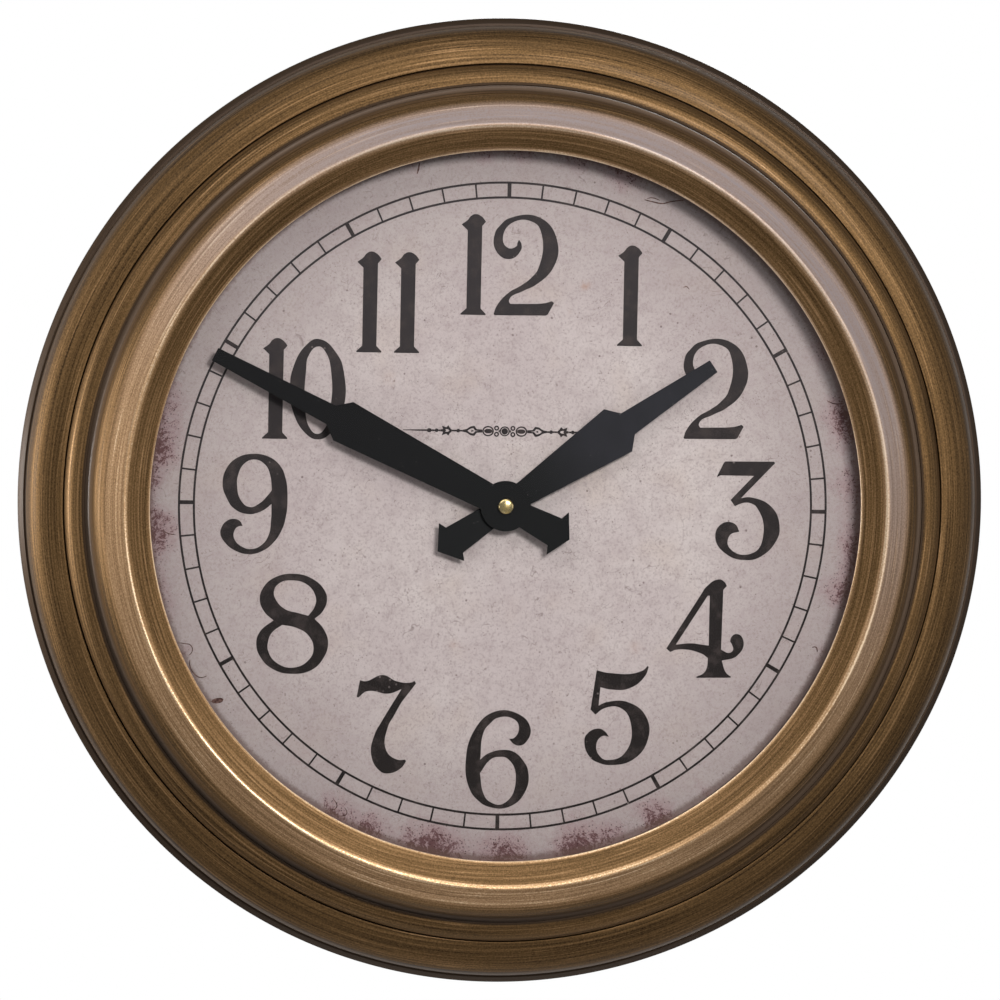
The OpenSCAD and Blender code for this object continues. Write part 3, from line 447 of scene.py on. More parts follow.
def zinc_steel(s, spot):
    """Zinc plate: grey crystals, fine scratches and a little white bloom."""
    crystals = s.cells(s.scaled(spot, (1, 1, 1.6)), 240)
    scratches = s.noise(s.scaled(spot, (1, 6, 26)), 260, 3, 0.6)
    bloom = s.noise(spot, 75, 4, 0.65)
    tone = s.mix(s.rise(crystals, 0.1, 0.65), rgb(146, 148, 148), rgb(186, 187, 184))
    tone = s.mix(s.rise(scratches, 0.55, 0.75, 0, 0.45), tone, rgb(108, 108, 106))
    tone = s.mix(s.rise(bloom, 0.58, 0.75, 0, 0.5), tone, rgb(206, 205, 198))
    rough = s.plus(s.rise(bloom, 0.4, 0.75, 0.3, 0.5), s.rise(scratches, 0.5, 0.8, 0, 0.12))
    s.principled(tone, rough, s.bump(scratches, 0.12, 0.00005), Metallic=0.95)


def yellow_brass(s, spot):
    """Turned brass: fine rings from the tool about the hand axis, and brown tarnish in patches."""
    from_axis = s.length(s.scaled(spot, (1, 0, 1)))
    tool = s.math("SINE", s.times(from_axis, math.tau / (TOOL_PITCH * MM)))
    tarnish = s.noise(spot, 240, 4, 0.65)
    tone = s.mix(s.rise(tarnish, 0.35, 0.65), rgb(222, 202, 152), rgb(202, 174, 114))
    tone = s.mix(s.rise(tarnish, 0.6, 0.78, 0, 0.6), tone, rgb(128, 92, 46))
    rough = s.plus(s.rise(tarnish, 0.35, 0.75, 0.2, 0.4), s.times(tool, 0.03))
    s.principled(tone, rough, s.bump(tool, 0.06, 0.00003), Metallic=1.0)


def moulded(s, spot, low, high, dust, base_rough):
    """Moulded plastic or rubber: an even spark-worn grain, slight clouding, scuffs and settled dust."""
    grain = s.noise(spot, 2400, 2, 0.6)
    cloud = s.noise(spot, 60, 3, 0.6)
    settled = s.noise(spot, 150, 4, 0.7)
    scuffs = s.noise(s.scaled(spot, (14, 6, 1)), 140, 2, 0.6)
    tone = s.mix(s.rise(cloud, 0.3, 0.7), low, high)
    tone = s.mix(s.rise(settled, 0.55, 0.75, 0, 0.35), tone, dust)
    tone = s.mix(s.rise(scuffs, 0.66, 0.76, 0, 0.25), tone, dust)
    rough = s.plus(base_rough, s.rise(settled, 0.45, 0.75, -0.06, 0.16))
    s.principled(tone, rough, s.bump(grain, 0.2, 0.00006), Specular_IOR_Level=0.4)


def circuit_green(s, spot):
    """Solder mask over copper: straight tracks broken into runs, with tinned pads."""
    z = s.parts(spot)[2]
    place = s.math("FRACT", s.math("DIVIDE", z, TRACK_PITCH * MM))
    across = s.math("ABSOLUTE", s.minus(place, 0.5))
    runs = s.rise(s.noise(s.scaled(spot, (60, 1, 700)), 1, 0), 0.45, 0.5)
    tracks = s.times(s.rise(across, 0.2, 0.26, 1, 0), runs)
    pads = s.rise(s.cells(spot, 330), 0.14, 0.2, 1, 0)
    cloud = s.noise(spot, 260, 3, 0.6)
    tone = s.mix(s.rise(cloud, 0.3, 0.7), rgb(20, 74, 40), rgb(27, 88, 48))
    tone = s.mix(s.times(tracks, 0.8), tone, rgb(52, 122, 70))
    tone = s.mix(pads, tone, rgb(190, 190, 182))
    rough = s.rise(cloud, 0.3, 0.7, 0.3, 0.42)
    s.principled(tone, rough, s.bump(s.plus(tracks, pads), 0.2, 0.00005), Metallic=pads)


def copper_wire(s, spot):
    """Enamelled wire: turns side by side along the coil."""
    x = s.parts(spot)[0]
    turns = s.math("ABSOLUTE", s.math("SINE", s.times(x, math.pi / (WIRE_D * MM))))
    cloud = s.noise(spot, 500, 3, 0.6)
    tone = s.mix(s.rise(cloud, 0.3, 0.7), rgb(176, 96, 48), rgb(206, 122, 66))
    tone = s.mix(s.rise(turns, 0, 0.6, 0.85, 0), tone, rgb(74, 34, 16))
    rough = s.rise(cloud, 0.3, 0.7, 0.26, 0.4)
    s.principled(tone, rough, s.bump(turns, 0.5, 0.0001), Metallic=0.8)


def magnet(s, spot):
    """Sintered magnet and its steel arbor: dark grey with fine pores."""
    pores = s.noise(spot, 1800, 3, 0.65)
    cloud = s.noise(spot, 300, 3)
    tone = s.mix(s.rise(cloud, 0.3, 0.7), rgb(64, 64, 68), rgb(88, 88, 93))
    tone = s.mix(s.rise(pores, 0.55, 0.7, 0, 0.6), tone, rgb(34, 34, 36))
    rough = s.rise(pores, 0.3, 0.7, 0.4, 0.62)
    s.principled(tone, rough, s.bump(pores, 0.25, 0.00005), Metallic=0.7)


def cell_jacket(s, spot):
    """A dry cell: steel ends, and a printed sleeve with a copper shoulder and a pale ring between."""
    low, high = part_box("battery_cell")
    place = s.math("DIVIDE", s.minus(s.parts(spot)[0], low.x), high.x - low.x)
    sleeve = s.times(s.rise(place, 0.02, 0.025), s.rise(place, 0.955, 0.96, 1, 0))
    shoulder = s.rise(place, 0.7, 0.703)
    ring = s.times(s.rise(place, 0.685, 0.688), s.rise(place, 0.7, 0.703, 1, 0))
    foil = s.noise(s.scaled(spot, (12, 1, 1)), 900, 2)
    scuffs = s.noise(s.scaled(spot, (1, 9, 9)), 180, 3, 0.65)
    print_tone = s.mix(s.rise(foil, 0.35, 0.65), rgb(30, 62, 44), rgb(40, 76, 54))
    print_tone = s.mix(shoulder, print_tone, rgb(178, 112, 62))
    print_tone = s.mix(ring, print_tone, rgb(214, 208, 190))
    print_tone = s.mix(s.rise(scuffs, 0.64, 0.76, 0, 0.4), print_tone, rgb(150, 146, 138))
    tone = s.mix(sleeve, rgb(188, 188, 184), print_tone)
    metal = s.minus(1.0, s.times(sleeve, 0.65))
    rough = s.rise(scuffs, 0.4, 0.75, 0.26, 0.46)
    s.principled(tone, rough, s.bump(scuffs, 0.08, 0.00004), Metallic=metal)


def pale_floor(s, spot):
    """Matt pale floor with a trace of unevenness."""
    cloud = s.noise(spot, 6, 3, 0.6)
    tone = s.mix(s.rise(cloud, 0.3, 0.7), rgb(235, 235, 235), rgb(241, 241, 240))
    s.principled(tone, 0.9, s.bump(s.noise(spot, 300), 0.05, 0.0002))


# Materials by slot. A function that paints one slot has the name of the slot.
FINISHES = [
    frame_gold, dial_print, fibreboard, zinc_steel, yellow_brass, circuit_green, copper_wire, magnet,
    cell_jacket,
]
# Hands: tone, tone of the painted sheen, angle at rest
PAINTED = {
    "hour_hand_paint": (rgb(15, 15, 16), rgb(40, 39, 44), HOUR_ANGLE),
    "minute_hand_paint": (rgb(9, 9, 10), rgb(12, 11, 13), MINUTE_ANGLE),
}
# Moulded parts: darker and paler tone, dust, roughness
MOULDED = {
    "black_rubber": (rgb(22, 22, 22), rgb(31, 31, 31), rgb(84, 82, 80), 0.78),
    "black_plastic": (rgb(25, 25, 26), rgb(34, 34, 35), rgb(78, 76, 74), 0.46),
    "white_plastic": (rgb(212, 210, 202), rgb(226, 224, 216), rgb(190, 184, 170), 0.38),
}


def made(name, paint, *look):
    """A new material, painted by one of the functions above."""
    shader = Shader(name)
    paint(shader, shader.position(), *look)
    return shader.owner


MATERIALS = {finish.__name__: made(finish.__name__, finish) for finish in FINISHES}
MATERIALS |= {slot: made(slot, painted, *look) for slot, look in PAINTED.items()}
MATERIALS |= {slot: made(slot, moulded, *look) for slot, look in MOULDED.items()}
MATERIALS["lens_glass"] = lens_glass()
INK = made("ink", ink)
BROWN_LINE = made("brown_line", brown_line)


# Shapes

def link(name, mesh, material):
    """A new object at the origin that shows one mesh in one material."""
    mesh.materials.clear()
    mesh.materials.append(material)
    piece = bpy.data.objects.new(name, mesh)
    scene.collection.objects.link(piece)
    return piece


def arc(centre, radii, start, end, steps):
    """Points along part of an ellipse. Angles are in degrees."""
    turns = np.radians(np.linspace(start, end, steps + 1))
    return [(centre[0] + radii[0] * math.cos(a), centre[1] + radii[1] * math.sin(a)) for a in turns]


def turn_at(before, here, after):
    """The signed turn of a path at a point, left turns positive."""
    first = math.atan2(here[1] - before[1], here[0] - before[0])
    second = math.atan2(after[1] - here[1], after[0] - here[0])
    return (second - first + math.pi) % math.tau - math.pi


def rounded(section):
    """The section with a small round on each arris and in each sharp corner."""
    result = []
    for i, here in enumerate(section):
        before = section[i - 1]
        after = section[(i + 1) % len(section)]
        turn = turn_at(before, here, after)
        if abs(turn) < SHARP_TURN:
            result.append(here)
            continue
        middle = Vector(here[:2])
        back = Vector(before[:2]) - middle
        ahead = Vector(after[:2]) - middle
        reach = min(ARRIS_ROUND, back.length * ROUND_SHARE, ahead.length * ROUND_SHARE)
        start = middle + back.normalized() * reach
        end = middle + ahead.normalized() * reach
        for t in (0, 0.25, 0.5, 0.75, 1):
            point = start * (1 - t) ** 2 + middle * 2 * t * (1 - t) + end * t * t
            result.append((point.x, point.y) + here[2:])
    return result


def divided(section):
    """The section with long edges cut, so that paint can change along them."""
    result = []
    for here, after in zip(section, section[1:] + section[:1]):
        length = math.dist(here[:2], after[:2])
        count = max(1, math.ceil(length / LONGEST_EDGE))
        for k in range(count):
            t = k / count
            result.append(tuple(a + (b - a) * t for a, b in zip(here, after)))
    return result


def nearness(places, reach):
    """How near every two places along the section are, from 1 where they meet down to 0."""
    return np.exp(-0.5 * ((places[:, None] - places[None, :]) / reach) ** 2)


def blurred(values, places, reach):
    """Values averaged along the section over a reach in millimetres."""
    weight = nearness(places, reach)
    return weight @ values / weight.sum(1)


def lathe(name, stretches):
    """Turns a closed section about the hand axis. Each stretch of it is its points, then the levels of gold
    paint, of pale dust with a painted sheen over it, and of dark soot. Paint changes over the gaps between."""
    section = [point + tuple(levels) for points, *levels in stretches for point in points]
    section = divided(rounded(section))
    count = len(section)
    table = np.array(section)
    steps = np.linalg.norm(np.roll(table[:, :2], -1, 0) - table[:, :2], axis=1)
    along = np.concatenate([[0], np.cumsum(steps)[:-1]])
    turns = np.array([turn_at(section[i - 1], section[i], section[(i + 1) % count]) for i in range(count)])
    wear = nearness(along, WEAR_REACH) @ np.maximum(turns, 0) - WEAR_FROM
    grime = nearness(along, GRIME_REACH) @ np.maximum(-turns, 0) - GRIME_FROM
    paint = [
        along * MM,
        np.clip(wear, 0, 1),
        np.clip(grime, 0, 1),
        blurred(table[:, 2], along, GOLD_BLEND),
        blurred(table[:, 3], along, DUST_BLEND),
        blurred(table[:, 4], along, DUST_BLEND),
    ]
    angles = np.linspace(0, math.tau, TURN_STEPS, endpoint=False)
    places = np.empty((TURN_STEPS, count, 3))
    places[:, :, 0] = np.sin(angles)[:, None] * table[None, :, 0] * MM
    places[:, :, 1] = -table[None, :, 1] * MM
    places[:, :, 2] = np.cos(angles)[:, None] * table[None, :, 0] * MM
    near = np.arange(TURN_STEPS * count).reshape(TURN_STEPS, count)
    far = np.roll(near, -1, 0)
    faces = np.stack([near, np.roll(near, -1, 1), np.roll(far, -1, 1), far], 2).reshape(-1, 4)
    mesh = bpy.data.meshes.new(name)
    mesh.from_pydata(places.reshape(-1, 3).tolist(), [], faces.tolist())
    for field, values in zip(PAINT_FIELDS, paint):
        layer = mesh.attributes.new(field, "FLOAT", "POINT")
        layer.data.foreach_set("value", np.tile(values, TURN_STEPS).astype(np.float32))
    mesh.polygons.foreach_set("use_smooth", [True] * len(mesh.polygons))
    mesh.update()
    return link(name, mesh, MATERIALS["frame_gold"])


def case_moulding():
    """The outer ring: bevelled rim, broad rounded moulding and the seats inside."""
    ovolo = ((BORE_R + GROOVE_EASE, RIM_Z), (OVOLO_R - BORE_R - GROOVE_EASE, OVOLO_Z - RIM_Z))
    stretches = [
        ([(BACK_BORE_R, 0), (CASE_R, 0)], -0.1, 0, 0.15),
        ([(CASE_R, RIM_Z - RIM_W), (CASE_R - RIM_W, RIM_Z)], -0.15, 0, 0.2),
        ([(CASE_R - RIM_W - PAINT_GAP, RIM_Z), (OVOLO_R + 2 * PAINT_GAP, RIM_Z)], 0.6, 0.4, 0.2),
        (arc(*ovolo, 0, 30, 12), 0.12, 0, 0.2),
        (arc(*ovolo, 32, 90, 26), 0.23, 0, 0),
        ([(BORE_R, OVOLO_Z - GROOVE_EASE)], 0.1, 0, 0),
        ([(BORE_R, SEAT_Z), (LEDGE_R, SEAT_Z), (LEDGE_R, LEDGE_BACK)], 0.1, 0, 0),
        ([(RIB_R, LEDGE_BACK), (RIB_R, BACK_SEAT), (BACK_BORE_R, BACK_SEAT)], 0.1, 0, 0),
    ]
    return lathe("case_moulding", stretches)


def on_slope(radius):
    """The point of the inner slope at this radius."""
    return (radius, LIP_Z + (radius - LIP_R) * math.tan(math.radians(SLOPE_TILT)))


def bezel_moulding():
    """The inner ring: bead, cove, step, a band with pale dust and painted sheen, crest, slope and the lip
    before the glass.
    """
    bead = ((FILLET_R, BEAD_FOOT_Z), (BEAD_R - FILLET_R, BEAD_Z - BEAD_FOOT_Z))
    cove = ((COVE_R, STEP_Z), (COVE_R - STEP_R, STEP_Z - QUIRK_Z))
    curl = math.radians(STEP_TURN)
    step_w = (STEP_R - BAND_R) / (1 - math.cos(curl))
    step = ((STEP_R - step_w, STEP_Z), (step_w, (BAND_Z - STEP_Z) / math.sin(curl)))
    crest = ((CREST_R, CREST_TOP - CREST_ROUND), (CREST_ROUND, CREST_ROUND))
    band_edge = (BAND_R - BAND_EDGE, BAND_Z + BAND_EDGE * math.tan(math.radians(BAND_TILT)))
    back = [(GLASS_BORE_R, LIP_BACK), (GLASS_BORE_R, DIAL_Z), (SHOULDER_R, DIAL_Z), (FOOT_R, FOOT_Z)]
    stretches = [
        ([(FOOT_R, SEAT_Z), (BEZEL_R, SEAT_Z), (BEZEL_R, GROOVE_Z), (BEAD_R, GROOVE_Z)], 0.22, 0, 0),
        (arc(*bead, 0, 90, 24), 0.27, 0, 0),
        ([(COVE_R, BEAD_Z), (COVE_R, QUIRK_Z)], 0, 0, 0.2),
        (arc(*cove, 268, 232, 9), 0.14, 0, 0.7),
        (arc(*cove, 228, 180, 9), 0.3, 0, 0.35),
        (arc(*step, 2, STEP_TURN - 10, 12), 0.26, 0, 0),
        (arc(*step, STEP_TURN - 4, STEP_TURN, 2), 0.44, 0.35, 0),
        ([band_edge], 0.68, 1, 0),
        (arc(*crest, 90 - BAND_TILT, 78, 4), 0.62, 1, 0),
        (arc(*crest, 83, 98, 4), 0.88, 0.85, 0),
        (arc(*crest, 102, 86 + SLOPE_TILT, 4), 0.8, 0.15, 0),
        ([on_slope(CREST_R - RUBBED_W)], 0.31, 0, 0),
        ([on_slope(LIP_R + LIP_EDGE)], 0.31, 0, 0),
        ([(LIP_R, LIP_Z), (LIP_R, LIP_BACK)], 0.95, 0.3, 0),
        (back, 0.1, 0, 0.5),
    ]
    return lathe("bezel_moulding", stretches)


for moulding, node in ((case_moulding(), "case_ring"), (bezel_moulding(), "bezel_ring")):
    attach(moulding, "frame")
    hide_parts(node)


# Dial print, in millimetres on the paper, turned and shifted as one group
PAPER_Z = -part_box("dial_paper")[0].y / MM
PRINT_SHIFT = (-0.7, -0.75)
PRINT_TURN = math.radians(-1.1)
# How deep the print sinks into the paper, and its whole thickness
INK_SINK = 0.01
PRINT_T = 0.09
# Height of the hour figures, and the unit of their outlines
NUMERAL_H = 47.43
UNIT = NUMERAL_H / 100
# Steps of a curve between two points of an outline, and the distance at which points are welded
CURVE_STEPS = 10
WELD = 0.0005


def sharp(x, y):
    """A corner of an outline. A plain pair is a point where the outline runs smoothly."""
    return (x, y, "VECTOR")


# Outlines of the figures, in hundredths of their height
FIGURES = {
    "0": [
        [(27, 100), (47, 84), (53, 68), (53.5, 32.5), (39, 4.5), (28, 0), (17.5, 4.5), (2, 31), (0, 49.5),
         (1.5, 67), (15.5, 94)],
        [(27.5, 92.5), (34, 88), (41, 63), (40.5, 34), (34, 9.5), (27.5, 5.5), (21, 10), (15, 36),
         (15.5, 67), (18, 83.5)],
    ],
    "1": [
        [sharp(0.5, 0), sharp(25.5, 0), sharp(25.5, 1.2), sharp(20.4, 6.5), sharp(20.6, 88.5),
         sharp(24.2, 92.8), (20.2, 97.6), (14, 100.2), (9.2, 98.2), (6, 94.2), sharp(0, 89.7),
         sharp(6.2, 84), sharp(6.3, 6.5), sharp(0.5, 1.2)],
    ],
    "2": [
        [(47, 97), (63.5, 73), (60, 49), (42, 30.5), (31, 25), (16, 15), sharp(17.5, 11.5), sharp(44, 12),
         (52.5, 13), sharp(59, 15), sharp(61, 13), sharp(55, 1.5), sharp(53, 0.5), sharp(2, 0), sharp(1, 1),
         (3.5, 8.5), (16, 23), (27, 29.5), (37.5, 37.5), (45, 48), (46, 85.5), (40, 92.5), (20.5, 93.5),
         (9, 79), (13.5, 67.5), (22.5, 69), (23.5, 72.5), sharp(25, 75.5), (27.5, 71), (26.5, 64), (15, 56),
         (2, 64.5), (1, 82), (6, 89.5), (14.5, 96.5)],
    ],
    "3": [
        [sharp(8.5, 98.5), sharp(57.5, 99), sharp(58.5, 97.5), sharp(25, 62), (34.5, 63), (57, 52.5),
         (64.5, 32), (62, 21), (46.5, 4), (32.5, 0), (11, 6), (0, 23), (7, 36.5), (19.5, 36),
         sharp(24, 28.5), (14.5, 24.5), (14.5, 12), (38.5, 7.5), (48, 24), (41, 53), (35, 57), (28.5, 57.5),
         sharp(19, 54), sharp(14.5, 60), sharp(37.5, 84.5), sharp(4, 84.5), sharp(1, 83), sharp(0.5, 83.5),
         sharp(7, 97)],
    ],
    "4": [
        [(51.5, 99), (57, 96.5), sharp(59.5, 92.5), sharp(56, 88.5), sharp(55, 28.5), (63.5, 25.5),
         (67, 28.5), (66, 33.5), (64, 38), (70.5, 44.5), (77.5, 36.5), (71, 22.5), sharp(56, 17.5),
         (60.5, 5.5), sharp(65.5, 1.5), sharp(65, 0.5), sharp(31, 0), sharp(30.5, 1), (37, 4), (40.5, 8.5),
         sharp(42, 20), (35, 24.5), (10.5, 28), sharp(4, 25.5), sharp(0, 29), sharp(34, 84), (38.5, 91)],
        [sharp(42.5, 82.5), sharp(40.5, 82.5), sharp(9.5, 33), (26, 34.5), (34, 33.5), sharp(42.5, 32.5)],
    ],
    "5": [
        [sharp(11, 95), (22.5, 92.5), (56.5, 95), sharp(62, 100), sharp(63, 99), (60, 90.5), (44.5, 77.5),
         (24.5, 76), sharp(15, 78), sharp(13.5, 59.5), (21, 63), (44, 63), (62, 48), (63.5, 25.5),
         (49.5, 6), (27, 0), (15, 2), (6, 7.5), (0, 24.5), (2.5, 31), (14, 36.5), (20, 34),
         sharp(24.5, 28.5), (18, 29), (12, 20), (17, 7.5), (24, 5), (40.5, 12), (46, 43), (35.5, 57.5),
         (19.5, 57), sharp(10.5, 50.5), sharp(5.5, 55.5)],
    ],
    "6": [
        [(50, 96), (64, 82), (60, 67), (53.5, 63.5), (48, 65), sharp(43, 70), (48.5, 71.5), (52.5, 83),
         (47.5, 90), (31, 91), (23.5, 85), (18, 78), sharp(14.5, 49), (22, 55), (40.5, 59), (50, 56),
         (57.5, 48.5), (62.5, 39), (60.5, 18), (44.5, 2), (23, 2), (13, 8), (5, 18), (0, 47), (9, 80),
         (27.5, 97)],
        [sharp(14.5, 35.5), (26, 50), (34, 52), (41.5, 50.5), (50.5, 32.5), (38.5, 5), (24.5, 7),
         (19, 13.5)],
    ],
    "7": [
        [sharp(3, 93), (8, 92), (26, 98.5), (39.5, 92.5), (54.5, 91.5), sharp(57.5, 93), sharp(59, 90.5),
         sharp(44.5, 71), (37, 57), (32, 47.5), (30.5, 23), (41.5, 14), sharp(49.5, 14), sharp(50.5, 12.5),
         (45.5, 5.5), (32.5, 0), (25, 2), (15.5, 18.5), (19, 40), (24.5, 50.5), sharp(44.5, 84.5), (32, 80),
         (10, 82), sharp(1.5, 75.5), sharp(0, 76.5)],
    ],
    "8": [
        [(36.8, 100), (55, 95.3), (67, 84.5), (70, 75), (66, 63), sharp(58, 55.3), (67, 45.5), (71.8, 31.5),
         (67, 15.5), (56, 4.3), (36.8, 0), (17.5, 4.3), (4.5, 16.5), (0.3, 29.5), (3.6, 41.5),
         sharp(17, 53.2), (7.5, 62), (3, 74), (6.5, 86), (17.5, 96)],
        [(34.8, 93.4), (50, 89.3), (58.6, 77.5), (58, 68), sharp(51.6, 58.3), (41, 61), (28.7, 64.4),
         (19.6, 73), (17, 82), (21.7, 90)],
        [sharp(25.7, 48.8), (39, 46.4), (52, 38.7), (57.4, 25.5), (53, 14.4), (38, 6.3), (21.7, 10.3),
         (12.6, 21.5), (11.9, 31.5), (15.8, 41)],
    ],
    "9": [
        [(31, 100), (46.8, 97.4), (58, 89), (64, 76), (66.2, 56), (64.9, 38), (60.7, 23.8), (52.8, 11.7),
         (42.7, 3.7), (29.6, 0), (14.5, 3.6), (4.4, 11.7), (0, 20), (1.4, 27), (6.5, 33), (13.5, 35),
         (19.6, 32.5), sharp(22, 28.2), (17.2, 27.2), (13.4, 21.5), (14.2, 14.6), (21.6, 7.4), (31.7, 5.2),
         (41.7, 9.8), (47.9, 19), (50.2, 34), sharp(50.4, 50.4), (44, 45), (36, 41.2), (27.6, 39.9),
         (13.5, 45), (6, 55), (1.4, 70), (6.2, 87), (16.5, 96.4)],
        [sharp(50.4, 64), (48.8, 78.2), (43.8, 89), (32.7, 94.4), (22.6, 90), (16.8, 79), (15.9, 68),
         (19.6, 54), (28.6, 47), (38.7, 51), (46.6, 59)],
    ],
}
# Where each hour stands, from the middle of the print
HOURS = {
    12: (0.5, 114.3), 1: (58.1, 100.8), 2: (99.4, 57.3), 3: (116.2, 0.2), 4: (97.1, -56.1),
    5: (55.7, -98.2), 6: (-0.4, -119.6), 7: (-53.8, -103.5), 8: (-98.8, -56.8), 9: (-117.8, -0.4),
    10: (-95.6, 54.3), 11: (-56.2, 95.8),
}
# Space between the two figures of an hour, in hundredths of their height
FIGURE_GAP = {10: 2, 11: 12, 12: 7}


def filled(loops, thickness):
    """A flat solid inside closed outlines, in millimetres, from 0 to the thickness."""
    data = bpy.data.curves.new("outline", "CURVE")
    data.dimensions = "2D"
    data.fill_mode = "BOTH"
    data.resolution_u = CURVE_STEPS
    data.extrude = thickness / 2
    for loop in loops:
        spline = data.splines.new("BEZIER")
        spline.bezier_points.add(len(loop) - 1)
        spline.use_cyclic_u = True
        for point, (x, y, *kind) in zip(spline.bezier_points, loop):
            point.co = (x, y, 0)
            point.handle_left_type = kind[0] if kind else "AUTO"
            point.handle_right_type = point.handle_left_type
    shape = bpy.data.objects.new("outline", data)
    scene.collection.objects.link(shape)
    bpy.context.view_layer.update()
    mesh = bpy.data.meshes.new_from_object(shape.evaluated_get(bpy.context.evaluated_depsgraph_get()))
    bpy.data.objects.remove(shape)
    bpy.data.curves.remove(data)
    mesh.transform(Matrix.Translation((0, 0, thickness / 2)))
    solid = bmesh.new()
    solid.from_mesh(mesh)
    bmesh.ops.remove_doubles(solid, verts=solid.verts, dist=WELD)
    bmesh.ops.recalc_face_normals(solid, faces=solid.faces)
    solid.to_mesh(mesh)
    solid.free()
    return mesh


def stand_up(mesh, depth, shift, turn):
    """Takes a flat mesh in millimetres to its place ahead of the wall, in metres."""
    mesh.transform(Matrix.Rotation(turn, 4, "Z"))
    mesh.transform(Matrix.Translation((shift[0], shift[1], depth)))
    mesh.transform(Matrix.Rotation(math.pi / 2, 4, "X"))
    mesh.transform(Matrix.Scale(MM, 4))
    mesh.update()
    return mesh


def printed(name, mesh, material=INK, shift=PRINT_SHIFT, turn=PRINT_TURN):
    """Lays a flat mesh on the paper."""
    piece = link(name, stand_up(mesh, PAPER_Z - INK_SINK, shift, turn), material)
    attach(piece, "frame")


def hour_loops(hour):
    """The outlines of one hour's figures about its middle, in millimetres."""
    loops = []
    start = 0
    for figure in str(hour):
        outlines = FIGURES[figure]
        loops += [[(x + start, y, *kind) for x, y, *kind in outline] for outline in outlines]
        start += max(point[0] for point in outlines[0]) + FIGURE_GAP.get(hour, 0)
    width = max(point[0] for loop in loops for point in loop)
    middle_x, middle_y = HOURS[hour]
    return [
        [((x - width / 2) * UNIT + middle_x, (y - 50) * UNIT + middle_y, *kind) for x, y, *kind in loop]
        for loop in loops
    ]


printed("dial_numerals", filled([loop for hour in HOURS for loop in hour_loops(hour)], PRINT_T))

# Minute track: two thin rings joined by sixty ticks, in millimetres
TRACK_OUTER_R = 153.2
TRACK_INNER_R = 146.2
RING_LINE = 1.0
MINUTE_LINE = 0.8
HOUR_LINE = 1.8
ARC_STEPS = 5


def minute_track():
    """The lattice of rings and ticks as one flat solid."""
    half = RING_LINE / 2
    radii = [TRACK_INNER_R - half, TRACK_INNER_R + half, TRACK_OUTER_R - half, TRACK_OUTER_R + half]
    spans = []
    for minute in range(60):
        width = MINUTE_LINE if minute % 5 else HOUR_LINE
        next_width = HOUR_LINE if minute % 5 == 4 else MINUTE_LINE
        middle = math.tau * minute / 60
        start = middle + width / 2 / TRACK_INNER_R
        end = middle + math.tau / 60 - next_width / 2 / TRACK_INNER_R
        spans.append((middle - width / 2 / TRACK_INNER_R, True))
        spans += [(edge, False) for edge in np.linspace(start, end, ARC_STEPS + 1)[:-1]]
    flat = bmesh.new()
    rows = [
        [flat.verts.new((radius * math.sin(start), radius * math.cos(start), 0)) for radius in radii]
        for start, _ in spans
    ]
    for i, (_, is_tick) in enumerate(spans):
        near = rows[i]
        far = rows[(i + 1) % len(rows)]
        for k in (0, 1, 2) if is_tick else (0, 2):
            flat.faces.new((near[k], near[k + 1], far[k + 1], far[k]))
    bmesh.ops.delete(flat, geom=[v for v in flat.verts if not v.link_faces], context="VERTS")
    raised = bmesh.ops.extrude_face_region(flat, geom=flat.faces[:])["geom"]
    lift = [v for v in raised if isinstance(v, bmesh.types.BMVert)]
    bmesh.ops.translate(flat, verts=lift, vec=(0, 0, PRINT_T))
    bmesh.ops.recalc_face_normals(flat, faces=flat.faces)
    mesh = bpy.data.meshes.new("minute_track")
    flat.to_mesh(mesh)
    flat.free()
    return mesh


printed("minute_track", minute_track())

# Divider: a small scrolled rule above the hands, with its place on the print and the unit of its outlines
# in millimetres
DIVIDER_AT = (-0.05, 35.8)
DIVIDER_UNIT = 0.4723


def oval(x, y, across, up):
    """A smooth closed outline."""
    return [(x + across, y), (x, y + up), (x - across, y), (x, y - up)]


def oval_line(x, y, across, up, line):
    """An oval drawn with a line of that thickness."""
    return [oval(x, y, across, up), oval(x, y, across - line, up - line)]


def both_sides(points):
    """An outline from the points on one side of the rule, closed by their mirror images."""
    return points + [(x, -y, *kind) for x, y, *kind in reversed(points) if y]


def bar(start, end, start_line, end_line):
    """A straight stroke along the rule."""
    return both_sides([sharp(start, -start_line / 2), sharp(end, -end_line / 2)])


